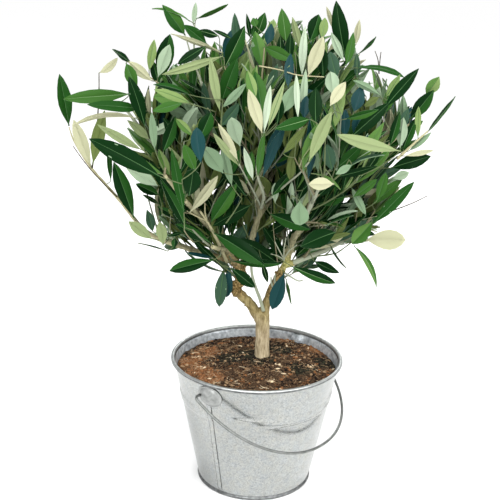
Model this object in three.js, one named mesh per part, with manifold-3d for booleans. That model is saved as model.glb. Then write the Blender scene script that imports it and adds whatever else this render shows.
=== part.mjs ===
// Potted olive tree: a young olive standard in a galvanised bucket with a wire bail.
// Millimetres, +Z up, +X to the right, +Y away from the front.
// The origin is the centre of the bucket's flat underside.
import * as THREE from "three";
import { mergeVertices } from "three/addons/utils/BufferGeometryUtils.js";
import Module from "manifold-3d";

const wasm = await Module();
wasm.setup();

// Bucket
const RIM_RADIUS = 80;
const RIM_HEIGHT = 121.8;
const RIM_BEAD = 1.7;
const FOOT_RADIUS = 52.5;
const FOOT_BEAD = 1.6;
const WALL_SLOPE = 0.2053;
const SHEET = 0.8;
const FLOOR = 1.6;
const SWAGE = { low: 83, high: 89.5, depth: 0.8, ramp: 1.2 };
const SEAM = { width: 4, depth: 0.9, low: 5, high: 95 };
const ROUND_SIDES = 36;
const SMALL_SIDES = 12;
const GAP = 0.35;
const FINEST = 0.06;

// Ears and bail: the pot's own frame is turned so that the pivot axis is its Y axis
const PIVOT_TURN = THREE.MathUtils.degToRad(39.3);
const PIVOT_HEIGHT = 108;
const EAR = {
  turn: THREE.MathUtils.degToRad(6.3),
  height: 107.6,
  wide: 11.5,
  tall: 9.2,
  proud: 5,
  flange: 0.9,
};
const POCKET = { wide: 7.5, deep: 3.8, tall: 7, height: 112.5 };
const WIRE_RADIUS = 1.2;
const EYE_RADIUS = 1.75;
const BAIL = {
  halfWidth: 84.7,
  depth: 93.9,
  squareness: 0.93,
  hang: THREE.MathUtils.degToRad(33.2),
  corner: 3.5,
  steps: 24,
  sides: 6,
};

// Soil
const SOIL_EDGE = 110.5;
const SOIL_SHOULDER = { radius: 60, height: 113.4 };
const SOIL_CREST = { radius: 25, height: 116 };

// Trunk and the three main boughs, as routes with the radius at both ends
const TRUNK_FOOT = SOIL_CREST.height + 0.3;
const TRUNK = {
  route: [[3.7, 12, TRUNK_FOOT], [3.7, 12, TRUNK_FOOT + 6], [4.3, 12, 137], [4.2, 12, 150], [4.6, 12, 159]],
  radii: [8.4, 6.7, 6.2, 6.1, 6.4],
};
const MAIN_BOUGHS = {
  main_left: {
    route: [[3, 12, 151], [-7, 12, 167], [-20, 11, 183], [-17, 12, 198], [-27, 12, 214], [-40, 13, 238]],
    radii: [4.9, 2.9],
  },
  main_right: {
    route: [[6, 12, 152], [9, 12, 174], [16, 12, 192], [24, 13, 207], [31, 14, 234]],
    radii: [3.7, 2.6],
  },
  main_centre: {
    route: [[-18, 12, 192], [-13, 17, 212], [-7, 18, 232], [1, 18, 262]],
    radii: [3.2, 2.2],
  },
};
const STUB = { at: [-20, 11, 184], end: [-27, 9, 189], radii: [4.4, 3.1] };
const SIDES = { trunk: 12, main: 8, bough: 6, sprig: 5, stem: 4, twig: 3 };

// Crown: the axis that the foliage is dealt out round, and the shell that holds every leaf
const CROWN_X = -9;
const CROWN_Y = 12;
const SHELL = { middle: 335, half: 180, deep: 162, above: 109, below: 165 };
const SKIRT = 172;

// Each row is a bough and its mass of foliage. The tip is at turn degrees round the crown's axis (0 is the
// front, 90 the right), reach out from it and height up; lean says how far the bough goes out before it rises,
// and thick is its radius where it leaves its parent, at the share "at" of the parent's length.
const CROWN = [
  ["low_left", "main_left", 0.68, -93, 174, 328, 0.82, 2.9],
  ["low_front", "main_left", 0.8, -26, 118, 268, 0.6, 2.2],
  ["low_right", "main_right", 0.66, 84, 155, 292, 0.62, 2.6],
  ["low_back", "main_right", 0.74, 168, 130, 278, 0.6, 2.2],
  ["left", "main_left", 0.99, -86, 146, 394, 0.5, 2.4],
  ["front_left", "main_left", 0.92, -40, 146, 350, 0.55, 2.3],
  ["front_right", "main_right", 0.93, 26, 146, 350, 0.55, 2.3],
  ["right", "main_right", 0.99, 84, 169, 378, 0.5, 2.4],
  ["back_right", "main_centre", 0.86, 140, 160, 356, 0.52, 2.2],
  ["back_left", "main_left", 0.86, -142, 160, 356, 0.55, 2.3],
  ["top_left", "main_centre", 0.93, -75, 82, 432, 0.45, 2],
  ["top_front", "main_centre", 0.96, 2, 80, 418, 0.45, 2],
  ["top_right", "main_centre", 0.98, 70, 80, 441, 0.42, 2.1],
  ["top_back", "main_centre", 0.99, 172, 88, 430, 0.42, 2],
].map(([name, from, at, turn, reach, height, lean, thick]) => (
  { name, from, at, turn, reach, height, lean, thick }
));
// How far along a bough's route to its tip the middle of its mass lies
const MASS_MIDDLE = 0.58;

// Leaves and twigs
const LEAF = { length: 58, width: 15, fold: 2, widest: 0.44, step: 15, lift: 0.12, tries: 8, mostFaces: 20 };
const TWIG = { length: 66, radius: 1.3, step: 12, angle: 0.9, lift: 0.3, tries: 7, room: 12, mostFaces: 44 };
const GOLDEN_TURN = 2.4;
const STEM_END_RADIUS = 0.9;
const BARE = { twig: 0.3, stem: 0.6 };
const SEED = 7;

// Small sprigs that hang below the crown: a short stalk from a bough's side, and the tips of its leaves
const SPRIG_RADII = [1.4, 1.3];
const SPRIGS = [
  {
    name: "sprig_left",
    from: "main_left",
    tip: [-29, 3, 200],
    leaves: [[-38, 2, 163], [-25, -2, 178]],
  },
  {
    name: "sprig_right",
    from: "main_right",
    tip: [23, 4, 197],
    leaves: [[10, -6, 160], [27, 0, 167]],
  },
];

const vector = (p) => new THREE.Vector3(...p);

// Repeatable numbers from 0 to 1
function seeded(seed) {
  let state = seed;
  return () => {
    state = (state * 16807) % 2147483647;
    return state / 2147483647;
  };
}

function solid(geometry) {
  const bare = geometry.clone();
  bare.deleteAttribute("normal");
  bare.deleteAttribute("uv");
  const merged = mergeVertices(bare, 1e-4);
  const vertProperties = merged.attributes.position.array;
  const triVerts = new Uint32Array(merged.index.array);
  return new wasm.Manifold(new wasm.Mesh({ numProp: 3, vertProperties, triVerts }));
}

// The largest piece of a solid, so that a cut or a join leaves no scrap and no sealed hollow
function largest(shape) {
  const pieces = shape.decompose();
  return pieces.reduce((a, b) => (b.volume() > a.volume() ? b : a)).simplify(FINEST);
}

// True when every edge still joins just two faces after its ends are rounded
function staysClosed(shape) {
  const { vertProperties, triVerts } = shape.getMesh();
  const place = (v) => [0, 1, 2].map((k) => Math.round(vertProperties[3 * v + k] * 1e3)).join(" ");
  const uses = new Map();
  for (let i = 0; i < triVerts.length; i += 3) {
    const corners = [place(triVerts[i]), place(triVerts[i + 1]), place(triVerts[i + 2])];
    if (new Set(corners).size < 3) return false;
    corners.forEach((corner, k) => {
      const edge = [corner, corners[(k + 1) % 3]].sort().join(" | ");
      uses.set(edge, (uses.get(edge) ?? 0) + 1);
    });
  }
  return [...uses.values()].every((count) => count === 2);
}

function meshOf(name, shape, material) {
  const data = shape.getMesh();
  const geometry = new THREE.BufferGeometry();
  geometry.setAttribute("position", new THREE.BufferAttribute(new Float32Array(data.vertProperties), 3));
  geometry.setIndex(new THREE.BufferAttribute(new Uint32Array(data.triVerts), 1));
  geometry.computeVertexNormals();
  const mesh = new THREE.Mesh(geometry, material);
  mesh.name = name;
  return mesh;
}

// A closed tube round a run of points, with its own radius at each
function tube(points, radii, sides) {
  const last = points.length - 1;
  const geometry = new THREE.CylinderGeometry(1, 1, 1, sides, last);
  const frames = [];
  let across = null;
  points.forEach((point, i) => {
    const along = points[Math.min(i + 1, last)].clone().sub(points[Math.max(i - 1, 0)]).normalize();
    if (!across) {
      across = new THREE.Vector3(0, -1, 0).cross(along);
      if (across.length() < 0.1) across = new THREE.Vector3(1, 0, 0);
    }
    across = across.clone().addScaledVector(along, -across.dot(along)).normalize();
    frames.push({ across, up: across.clone().cross(along) });
  });
  const position = geometry.attributes.position;
  for (let i = 0; i < position.count; i++) {
    const station = Math.round((position.getY(i) + 0.5) * last);
    const place = points[station].clone();
    place.addScaledVector(frames[station].across, position.getX(i) * radii[station]);
    place.addScaledVector(frames[station].up, position.getZ(i) * radii[station]);
    position.setXYZ(i, place.x, place.y, place.z);
  }
  return geometry;
}

// A solid of revolution from [radius, height] pairs that run up the outside first
function turned(profile, sides = ROUND_SIDES) {
  const points = profile.map(([r, z]) => new THREE.Vector2(r, z));
  const geometry = new THREE.LatheGeometry(points, sides);
  geometry.rotateX(Math.PI / 2);
  return solid(geometry);
}

const wallRadius = (z) => FOOT_RADIUS + WALL_SLOPE * z;

// A place on the pot, in the pot's own frame: turn 0 is the front ear's eye
const around = (radius, turn, z) => new THREE.Vector3(radius * Math.sin(turn), -radius * Math.cos(turn), z);

// Points of an arc in a [radius, height] profile
function arc(centre, radius, from, to, steps) {
  return Array.from({ length: steps + 1 }, (_, i) => {
    const angle = from + ((to - from) * i) / steps;
    return [centre[0] + radius * Math.cos(angle), centre[1] + radius * Math.sin(angle)];
  });
}

// A cone that follows the wall's outside, moved out by an offset
function wallCone(offset, low, high) {
  return turned([[0, low], [wallRadius(low) + offset, low], [wallRadius(high) + offset, high], [0, high]]);
}

// An ellipsoid on the wall, its short axis pointing out of the pot
function wallBulge(radius, turn, z, wide, deep, tall) {
  const geometry = new THREE.SphereGeometry(1, SMALL_SIDES, SMALL_SIDES / 2);
  geometry.scale(wide, deep, tall);
  geometry.rotateZ(turn);
  geometry.translate(...around(radius, turn, z).toArray());
  return solid(geometry);
}

// A rod with its axis level and pointing out of the pot, oval when wide and tall differ
function wallRod(turn, z, wide, tall, inner, outer) {
  const geometry = new THREE.CylinderGeometry(1, 1, outer - inner, SMALL_SIDES);
  geometry.scale(wide, 1, tall);
  geometry.translate(0, -(outer + inner) / 2, z);
  geometry.rotateZ(turn);
  return solid(geometry);
}

// The hollow pressed into the wall behind an ear, made larger by extra
function pocket(turn, extra) {
  const radius = wallRadius(POCKET.height) - SHEET;
  const size = [POCKET.wide, POCKET.deep, POCKET.tall].map((half) => half + extra);
  return wallBulge(radius, turn, POCKET.height, ...size);
}

const EAR_TURNS = [EAR.turn, EAR.turn + Math.PI];

function bucket() {
  const beadCentre = [RIM_RADIUS - RIM_BEAD, RIM_HEIGHT - RIM_BEAD];
  const footCentre = [FOOT_RADIUS, FOOT_BEAD];
  const swage = [
    [wallRadius(SWAGE.low - SWAGE.ramp), SWAGE.low - SWAGE.ramp],
    [wallRadius(SWAGE.low) + SWAGE.depth, SWAGE.low],
    [wallRadius(SWAGE.high) + SWAGE.depth, SWAGE.high],
    [wallRadius(SWAGE.high + SWAGE.ramp), SWAGE.high + SWAGE.ramp],
  ];
  const wallTop = beadCentre[1] - RIM_BEAD;
  const profile = [
    [0, 0],
    ...arc(footCentre, FOOT_BEAD, -Math.PI / 2, Math.PI / 3, 3),
    ...swage,
    [wallRadius(wallTop), wallTop],
    ...arc(beadCentre, RIM_BEAD, -Math.PI / 2, Math.PI, 5),
    [wallRadius(wallTop) - SHEET, wallTop - 1],
    [wallRadius(FLOOR) - SHEET, FLOOR],
    [0, FLOOR],
  ];
  let shape = turned(profile);
  const middle = (SEAM.low + SEAM.high) / 2;
  const throughWall = FOOT_RADIUS;
  const strip = new THREE.BoxGeometry(SEAM.width, throughWall, SEAM.high - SEAM.low);
  strip.translate(0, -wallRadius(middle), middle);
  strip.rotateZ(EAR.turn);
  const inside = wallCone(-SHEET / 2, 0, RIM_HEIGHT);
  const skin = wallCone(SEAM.depth, SEAM.low - 1, SEAM.high + 1).subtract(inside);
  shape = shape.add(solid(strip).intersect(skin));
  for (const turn of EAR_TURNS) {
    shape = shape.add(pocket(turn, 0).intersect(wallCone(-SHEET / 2, 0, wallTop)));
  }
  return largest(shape);
}

// A stamped ear: an oval plate that follows the wall, with a hollow dome and the eye for the bail's end
function ear(turn) {
  const brim = 1;
  const low = EAR.height - EAR.tall - 2 * brim;
  const high = EAR.height + EAR.tall + 2 * brim;
  const radius = wallRadius(EAR.height);
  const inner = radius - EAR.proud;
  const outer = radius + 3 * EAR.proud;
  const plate = wallCone(GAP + EAR.flange, low, high)
    .subtract(wallCone(GAP, low - 1, high + 1))
    .intersect(wallRod(turn, EAR.height, EAR.wide + brim, EAR.tall + brim, inner, outer));
  const dome = wallBulge(radius, turn, EAR.height, EAR.wide, EAR.proud, EAR.tall);
  const inside = [EAR.wide, EAR.proud, EAR.tall].map((half) => half - EAR.flange);
  const hollow = wallBulge(radius, turn, EAR.height, ...inside);
  const eye = wallRod(turn - EAR.turn, PIVOT_HEIGHT, EYE_RADIUS, EYE_RADIUS, inner, outer);
  return largest(plate.add(dome).subtract(hollow).subtract(wallCone(GAP, 0, RIM_HEIGHT)).subtract(eye));
}

// The bail is one steel wire: a flattened half loop whose ends turn in along the pivot axis
function bail() {
  const across = (t) => BAIL.halfWidth * Math.sign(Math.sin(t)) * Math.abs(Math.sin(t)) ** BAIL.squareness;
  const down = (t) => BAIL.depth * Math.abs(Math.cos(t)) ** BAIL.squareness;
  const place = (p, v) =>
    new THREE.Vector3(v * Math.cos(BAIL.hang), p, PIVOT_HEIGHT - v * Math.sin(BAIL.hang));
  const innerEnd = wallRadius(PIVOT_HEIGHT) + GAP + WIRE_RADIUS / 2;
  const cornerStart = BAIL.halfWidth - BAIL.corner;
  const end = [place(innerEnd, 0), place(cornerStart, 0)];
  for (const angle of [30, 60, 90]) {
    const turn = THREE.MathUtils.degToRad(angle);
    end.push(place(cornerStart + BAIL.corner * Math.sin(turn), BAIL.corner * (1 - Math.cos(turn))));
  }
  const loop = [];
  for (let i = 1; i < BAIL.steps; i++) {
    const t = Math.PI / 2 - (Math.PI * i) / BAIL.steps;
    loop.push(place(across(t), down(t)));
  }
  const mirrored = end.map((p) => new THREE.Vector3(p.x, -p.y, p.z)).reverse();
  const points = [...end, ...loop, ...mirrored];
  return solid(tube(points, points.map(() => WIRE_RADIUS), BAIL.sides));
}

function soil() {
  const side = SHEET + GAP;
  let shape = turned([
    [0, FLOOR + GAP],
    [wallRadius(FLOOR + GAP) - side, FLOOR + GAP],
    [wallRadius(SOIL_EDGE) - side, SOIL_EDGE],
    [SOIL_SHOULDER.radius, SOIL_SHOULDER.height],
    [SOIL_CREST.radius, SOIL_CREST.height],
    [0, SOIL_CREST.height],
  ]);
  for (const turn of EAR_TURNS) shape = shape.subtract(pocket(turn, GAP));
  return largest(shape);
}

// A limb keeps its centre line and radii, for the tests of what grows near it
function limbAlong(curve, stations, radiusAt) {
  const points = curve.getSpacedPoints(stations);
  const radii = points.map((_, i) => radiusAt(i / stations));
  return { curve, points, radii };
}

const taper = (from, to) => (t) => from + (to - from) * t;

// The limb's tube, made fatter and longer by extra
function limbSolid(limb, sides, extra = 0) {
  const points = limb.points.map((p) => p.clone());
  const last = points.length - 1;
  points[0].addScaledVector(points[0].clone().sub(points[1]).normalize(), extra);
  points[last].addScaledVector(points[last].clone().sub(points[last - 1]).normalize(), extra);
  return solid(tube(points, limb.radii.map((r) => r + extra), sides));
}

function routeCurve(route) {
  return new THREE.CatmullRomCurve3(route.map(vector), false, "centripetal");
}

// Where a row of the crown ends
function tipOf(row) {
  const turn = THREE.MathUtils.degToRad(row.turn);
  return new THREE.Vector3(
    CROWN_X + row.reach * Math.sin(turn),
    CROWN_Y - row.reach * Math.cos(turn),
    row.height,
  );
}

// The whole line of a row, from its parent's centre line to the tip
function lineOf(row, parent) {
  const start = parent.curve.getPointAt(row.at);
  const tip = tipOf(row);
  const bend = start.clone().lerp(tip, row.lean);
  bend.z = start.z + (tip.z - start.z) * (1 - row.lean);
  return new THREE.QuadraticBezierCurve3(start, bend, tip);
}

// A mass's own space: the points nearer to its middle than to any other mass's
function spaceOf(row, rows) {
  return rows
    .filter((other) => other !== row)
    .map((other) => {
      const normal = other.middle.clone().sub(row.middle).normalize();
      const middle = other.middle.clone().add(row.middle).multiplyScalar(0.5);
      return new THREE.Plane().setFromNormalAndCoplanarPoint(normal, middle);
    });
}

const inSpace = (point, space, margin) => space.every((plane) => plane.distanceToPoint(point) < -margin);

// Inside the crown's shell by at least a margin
function inShell(point, margin = 0) {
  const up = point.z - SHELL.middle;
  const tall = up > 0 ? SHELL.above : SHELL.below;
  const x = (point.x - CROWN_X) / (SHELL.half - margin);
  const y = (point.y - CROWN_Y) / (SHELL.deep - margin);
  return x * x + y * y + (up / (tall - margin)) ** 2 < 1 && point.z > SKIRT;
}

function clearOfLimbs(from, to, radius, limbs) {
  const steps = 8;
  const probes = Array.from({ length: steps + 1 }, (_, i) => from.clone().lerp(to, i / steps));
  const nearest = new THREE.Vector3();
  return limbs.every((limb) =>
    limb.points.slice(1).every((end, i) => {
      const line = new THREE.Line3(limb.points[i], end);
      const clear = Math.max(limb.radii[i], limb.radii[i + 1]) + radius + GAP;
      return probes.every((p) => line.closestPointToPoint(p, true, nearest).distanceTo(p) > clear);
    }),
  );
}

// A leaf of four faces, folded along its length: root, tip and two edges, its upper side facing the normal
function leafGeometry({ root, along, normal, length }) {
  const side = along.clone().cross(normal);
  const width = (LEAF.width * length) / LEAF.length;
  const edge = (out) => root.clone()
    .addScaledVector(along, length * LEAF.widest)
    .addScaledVector(side, out)
    .addScaledVector(normal, LEAF.fold);
  const corners = [root, edge(-width / 2), edge(width / 2), root.clone().addScaledVector(along, length)];
  return new THREE.BufferGeometry().setFromPoints(corners).setIndex([0, 2, 1, 3, 1, 2, 0, 1, 3, 0, 3, 2]);
}

// A direction at an angle from an axis, turned about it
function splay(axis, angle, turn) {
  const side = new THREE.Vector3(0, 0, 1).cross(axis);
  if (side.length() < 0.05) side.set(1, 0, 0);
  side.normalize().applyAxisAngle(axis, turn);
  return axis.clone().applyAxisAngle(side, angle);
}

// The blade's upper side faces the shoot's tip
function leafNormal(along, shoot) {
  return shoot.clone().addScaledVector(along, -shoot.dot(along)).normalize();
}

function growMass(row, number, limbs) {
  const stem = row.stem;
  let shape = limbSolid(stem, SIDES.stem);

  // Joins a piece unless it would cross others, which shows in the faces that the join makes
  function fuse(piece, mostFaces) {
    const joined = largest(shape.add(piece));
    const clean = joined.numTri() - shape.numTri() <= mostFaces && staysClosed(joined);
    if (clean) shape = joined;
    return clean;
  }

  function addLeaf(root, shoot, angle, turn, length) {
    for (let attempt = 0; attempt < LEAF.tries; attempt++) {
      const along = splay(shoot, angle * (1 - 0.08 * attempt), turn + 0.4 * attempt);
      along.z += LEAF.lift;
      along.normalize();
      const blade = { root, along, normal: leafNormal(along, shoot), length: length * (1 - 0.04 * attempt) };
      const leaf = leafGeometry(blade);
      const inside = cornersOf(leaf).every((p) => inSpace(p, row.space, GAP) && inShell(p));
      const outer = root.clone().addScaledVector(along, 3 * TWIG.radius);
      const tip = root.clone().addScaledVector(along, blade.length);
      const clear = inside && clearOfLimbs(outer, tip, LEAF.width / 3, limbs);
      if (clear && fuse(solid(leaf), LEAF.mostFaces)) return;
    }
  }

  // Pairs of leaves up a shoot, each pair turned a quarter from the last, and one leaf at its tip
  function addLeaves(curve, random, from) {
    const pairs = Math.max(1, Math.round((curve.getLength() * (1 - from)) / LEAF.step));
    for (let pair = 0; pair < pairs; pair++) {
      const t = from + ((1 - from) * (pair + 0.5)) / (pairs + 0.2);
      const root = curve.getPointAt(t);
      const shoot = curve.getTangentAt(t);
      const turn = (pair * Math.PI) / 2 + random();
      for (const side of [0, Math.PI]) {
        addLeaf(root, shoot, 0.7 + 0.3 * random(), turn + side, LEAF.length * (0.8 + 0.25 * random()));
      }
    }
    addLeaf(curve.getPointAt(0.98), curve.getTangentAt(1), 0.12, random() * 6, LEAF.length * 0.95);
  }

  const stemLength = stem.curve.getLength();
  const twigs = Math.max(3, Math.round(stemLength / TWIG.step));
  for (let k = 0; k < twigs; k++) {
    const random = seeded(SEED + number * 97 + k * 13);
    const t = 0.1 + (0.8 * k) / twigs;
    const root = stem.curve.getPointAt(t);
    const axis = stem.curve.getTangentAt(t);
    const length = TWIG.length * (1 - 0.5 * t) * (0.8 + 0.3 * random());
    for (let attempt = 0; attempt < TWIG.tries; attempt++) {
      const way = splay(axis, TWIG.angle, k * GOLDEN_TURN + attempt * 0.9 + random());
      way.z += TWIG.lift;
      const end = root.clone().addScaledVector(way.normalize(), length * (1 - 0.08 * attempt));
      const roomy = inSpace(end, row.space, TWIG.room) && inShell(end, TWIG.room * 2);
      const curve = new THREE.LineCurve3(root, end);
      const twig = limbSolid(limbAlong(curve, 1, taper(TWIG.radius, TWIG.radius * 0.8)), SIDES.twig);
      const clear = roomy && clearOfLimbs(root.clone().lerp(end, 0.12), end, TWIG.radius, limbs);
      if (clear && fuse(twig, TWIG.mostFaces)) {
        addLeaves(curve, random, BARE.twig);
        break;
      }
    }
  }
  addLeaves(stem.curve, seeded(SEED + number), BARE.stem);
  return shape;
}

function cornersOf(geometry) {
  const position = geometry.attributes.position;
  const corner = (_, i) => new THREE.Vector3().fromBufferAttribute(position, i);
  return Array.from({ length: position.count }, corner);
}

// A stalk that stands square on the nearest place of its bough, clear of it, with leaves fused on
function sprig(row, parent) {
  const tip = vector(row.tip);
  const places = parent.curve.getSpacedPoints(80);
  const nearest = places.reduce((a, b) => (b.distanceTo(tip) < a.distanceTo(tip) ? b : a));
  const way = tip.clone().sub(nearest).normalize();
  const share = places.indexOf(nearest) / (places.length - 1);
  const foot = nearest.clone().addScaledVector(way, taper(parent.radii[0], parent.radii.at(-1))(share) + GAP);
  let shape = solid(tube([foot, tip], SPRIG_RADII, SIDES.sprig));
  for (const end of row.leaves) {
    const root = foot.clone().lerp(tip, 0.75);
    const reach = vector(end).sub(root);
    const length = reach.length();
    const along = reach.normalize();
    const normal = leafNormal(along, new THREE.Vector3(0.2, -1, 0));
    shape = shape.add(solid(leafGeometry({ root, along, normal, length })));
  }
  return largest(shape);
}

function paint(colour, roughness, metalness = 0) {
  return new THREE.MeshStandardMaterial({ color: colour, roughness, metalness, flatShading: true });
}

const galvanised = paint("#c3c8c6", 0.38, 0.9);
const steelWire = paint("#7e8482", 0.35, 0.95);
const peat = paint("#5a3a24", 0.95);
const bark = paint("#a8946e", 0.85);
const olive = paint("#3f5a35", 0.5);

const tree = new THREE.Group();
const pot = new THREE.Group();
pot.rotation.z = -PIVOT_TURN;
tree.add(pot);
pot.add(meshOf("bucket", bucket(), galvanised));
pot.add(meshOf("ear_front", ear(EAR_TURNS[0]), galvanised));
pot.add(meshOf("ear_back", ear(EAR_TURNS[1]), galvanised));
pot.add(meshOf("bail", bail(), steelWire));
pot.add(meshOf("soil", soil(), peat));

// Trunk and main boughs, each cut clear of the limbs made before it
const limbs = new Map();
const grown = [];
function addLimb(name, limb, sides, stub = null) {
  let shape = limbSolid(limb, sides);
  if (stub) shape = shape.add(stub);
  for (const other of grown) shape = shape.subtract(other);
  shape = largest(shape);
  tree.add(meshOf(name, shape, bark));
  grown.push(limbSolid(limb, sides, GAP));
  limbs.set(name, limb);
}

const trunkCurve = routeCurve(TRUNK.route);
const trunkPoints = TRUNK.route.map(vector);
addLimb("trunk", { curve: trunkCurve, points: trunkPoints, radii: TRUNK.radii }, SIDES.trunk);
for (const [name, { route, radii }] of Object.entries(MAIN_BOUGHS)) {
  const limb = limbAlong(routeCurve(route), 7, taper(...radii));
  const knob = solid(tube([STUB.at, STUB.end].map(vector), STUB.radii, SIDES.main));
  addLimb(name, limb, SIDES.main, name === "main_left" ? knob : null);
}

for (const row of CROWN) {
  row.line = lineOf(row, limbs.get(row.from));
  row.middle = row.line.getPointAt(MASS_MIDDLE);
}
for (const row of CROWN) {
  row.space = spaceOf(row, CROWN);
  const samples = 60;
  let entry = 0.2;
  for (let i = 0; i <= samples * MASS_MIDDLE; i++) {
    if (!inSpace(row.line.getPointAt(i / samples), row.space, 4)) entry = (i + 1) / samples;
  }
  const radiusAt = taper(row.thick, STEM_END_RADIUS);
  const stemEnd = 1 - (0.8 * LEAF.length) / row.line.getLength();
  const part = (from, to) => new THREE.CatmullRomCurve3(
    Array.from({ length: 9 }, (_, i) => row.line.getPointAt(from + ((to - from) * i) / 8)),
  );
  const gapShare = (GAP + 0.05) / row.line.getLength();
  addLimb("bough_" + row.name, limbAlong(part(0, entry), 3, (t) => radiusAt(t * entry)), SIDES.bough);
  const stemRadius = (t) => radiusAt(entry + (1 - entry) * t);
  row.stem = limbAlong(part(entry + gapShare, stemEnd), 4, stemRadius);
}

const allLimbs = [...limbs.values()];
CROWN.forEach((row, i) => tree.add(meshOf("foliage_" + row.name, growMass(row, i + 1, allLimbs), olive)));
for (const row of SPRIGS) tree.add(meshOf(row.name, sprig(row, limbs.get(row.from)), olive));

export default tree;
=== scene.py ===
# Looks of a potted olive tree: a young standard in a galvanised bucket with a wire bail.
# Lengths are in millimetres until a mesh is made; +Z is up, +X right, +Y away from the front.
import math

import bmesh
import bpy
import numpy as np
from mathutils import Matrix, Vector, noise


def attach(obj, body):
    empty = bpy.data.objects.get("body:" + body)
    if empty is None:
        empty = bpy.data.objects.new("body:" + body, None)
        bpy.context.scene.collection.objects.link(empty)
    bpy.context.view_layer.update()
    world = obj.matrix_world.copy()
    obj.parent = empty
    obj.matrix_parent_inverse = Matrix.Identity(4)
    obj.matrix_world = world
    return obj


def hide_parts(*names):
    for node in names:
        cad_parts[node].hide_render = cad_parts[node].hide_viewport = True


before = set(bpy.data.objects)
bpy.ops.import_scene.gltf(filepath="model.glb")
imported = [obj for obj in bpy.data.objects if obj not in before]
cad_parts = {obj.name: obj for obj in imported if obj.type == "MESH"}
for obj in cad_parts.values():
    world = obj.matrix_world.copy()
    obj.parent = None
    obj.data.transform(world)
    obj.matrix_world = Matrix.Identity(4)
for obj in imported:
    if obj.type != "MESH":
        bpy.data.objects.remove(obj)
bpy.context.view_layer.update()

MM = 0.001
ROOT = "pot_and_tree"

# Camera, as worked out from the photograph: its focal length in pixels, place, pitch and roll
FRAME_SIZE = 500
FOCAL = 924
SENSOR = 36
CAMERA_AT = np.array([-8.9, -801.0, 461.0])
CAMERA_PITCH = math.radians(16.5)
CAMERA_ROLL = math.radians(1.51)

# Bucket; a turn is an angle about its axis from the bail's front pivot
RIM_RADIUS = 80
RIM_HEIGHT = 121.8
RIM_BEAD = 1.7
FOOT_RADIUS = 52.5
FOOT_BEAD = 1.6
WALL_SLOPE = 0.2053
SHEET = 0.8
FLOOR = 1.6
UNDERSIDE = 1.0
SWAGE = {"low": 83, "high": 89.5, "depth": 0.8, "ramp": 1.2, "inside": 4}
SEAM = {"width": 3.4, "depth": 0.9, "low": 5, "high": 98, "turn": math.radians(4.4)}
GROOVE = {"off": 0.4, "half": 0.35, "depth": 0.5}
# Where the seam rises at its ends and, from its edges, at its lap and its cut; and where shade is
# painted: in the groove beside its cut edge and at the foot of its lap
SEAM_RISE = {"low": 3, "high": -4, "lap": (-0.9, 0.7), "cut": -0.25}
SEAM_PAINTED_SHADE = {"lap": (-0.95, -0.55), "cut": (-0.05, 0.7)}
# The wall's mesh: columns across the seam and all round, rows, and the height of the lowest row
SEAM_COLUMNS = {"reach": 0.075, "each_side": 22, "clear": 0.008}
WALL_COLUMNS = 330
WALL_ROWS = {"outside": 96, "inside": 48}
WALL_LOW = 4
# How far inside the foot's radius the flat underside ends
FOOT_RING = 3.5
# Shade is painted on the wall above this height, under the rim bead
PAINTED_SHADE_UNDER_RIM = 117.6
PIVOT_TURN = math.radians(39.3)
PIVOT_HEIGHT = 108
EAR = {"turn": math.radians(6.3), "height": 107.6, "wide": 11.5, "tall": 9.2, "proud": 5,
       "flange": 0.9, "brim": 1, "fullness": 0.62, "edge": 0.35}
EAR_TURNS = (EAR["turn"], EAR["turn"] + math.pi)
POCKET = {"wide": 7.5, "deep": 3.8, "tall": 7, "height": 112.5}
# Radii between which the peat comes to keep clear of a pocket
POCKET_SPAN = (55, 74)
WIRE_RADIUS = 1.2
EYE_RADIUS = 1.75
# How far out of the wall the eye's bore starts and ends
EYE_BORE = (0.2, 14)
BAIL = {"half": 84.7, "depth": 93.9, "squareness": 0.93, "hang": math.radians(33.2), "corner": 3.5,
        "straight": 1.5, "steps": 97, "corner_steps": 9, "sides": 14}
# Left between solids that would touch
GAP = 0.35
# Where the wall's colour is darkened, as a painted reflection of shade
PAINTED_SHADE_AT = ((-62, -8, 8), (-72, -4, 55))

# Soil: radius and height of its shoulder and crest, and its mounds, crumbs and pits, each as the
# scale, height and layer of a noise
SOIL_EDGE = 110.5
SOIL_SHOULDER = (60, 113.4)
SOIL_CREST = (25, 116)
SOIL_ROUGHNESS = ((0.05, 1.1, 3.1), (0.19, 0.9, 7.7), (0.6, 0.55, 1.3))
SOIL_REACH = 72
TRUNK_AT = (3.7, 12)
TRUNK_ROOM = 8.5
CRUMBS = {"seed": 101, "count": 1700, "size": 0.55, "spread": 1.25, "skew": 2.5, "flat": 0.7,
          "sunk": 0.2}
FIBRES = {"seed": 211, "count": 1500, "reach": 72.5, "length": (3, 9), "bend": (-0.9, 0.9),
          "radius": (0.1, 0.26), "lift": 0.45, "spring": 0.5, "tan_every": 4, "pale_every": 40}
CHIPS = {"count": 70, "size": (0.9, 2.1), "shape": (1.5, 0.55, 0.4), "lift": 0.7, "pale_every": 4}
# Height and width of a crumb's rings, and how far its corners are pushed
LUMP_RINGS = ((-0.6, 0.75), (0.15, 1.0), (0.75, 0.6))
LUMP_PUSH = (0.7, 1.2)

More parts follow.
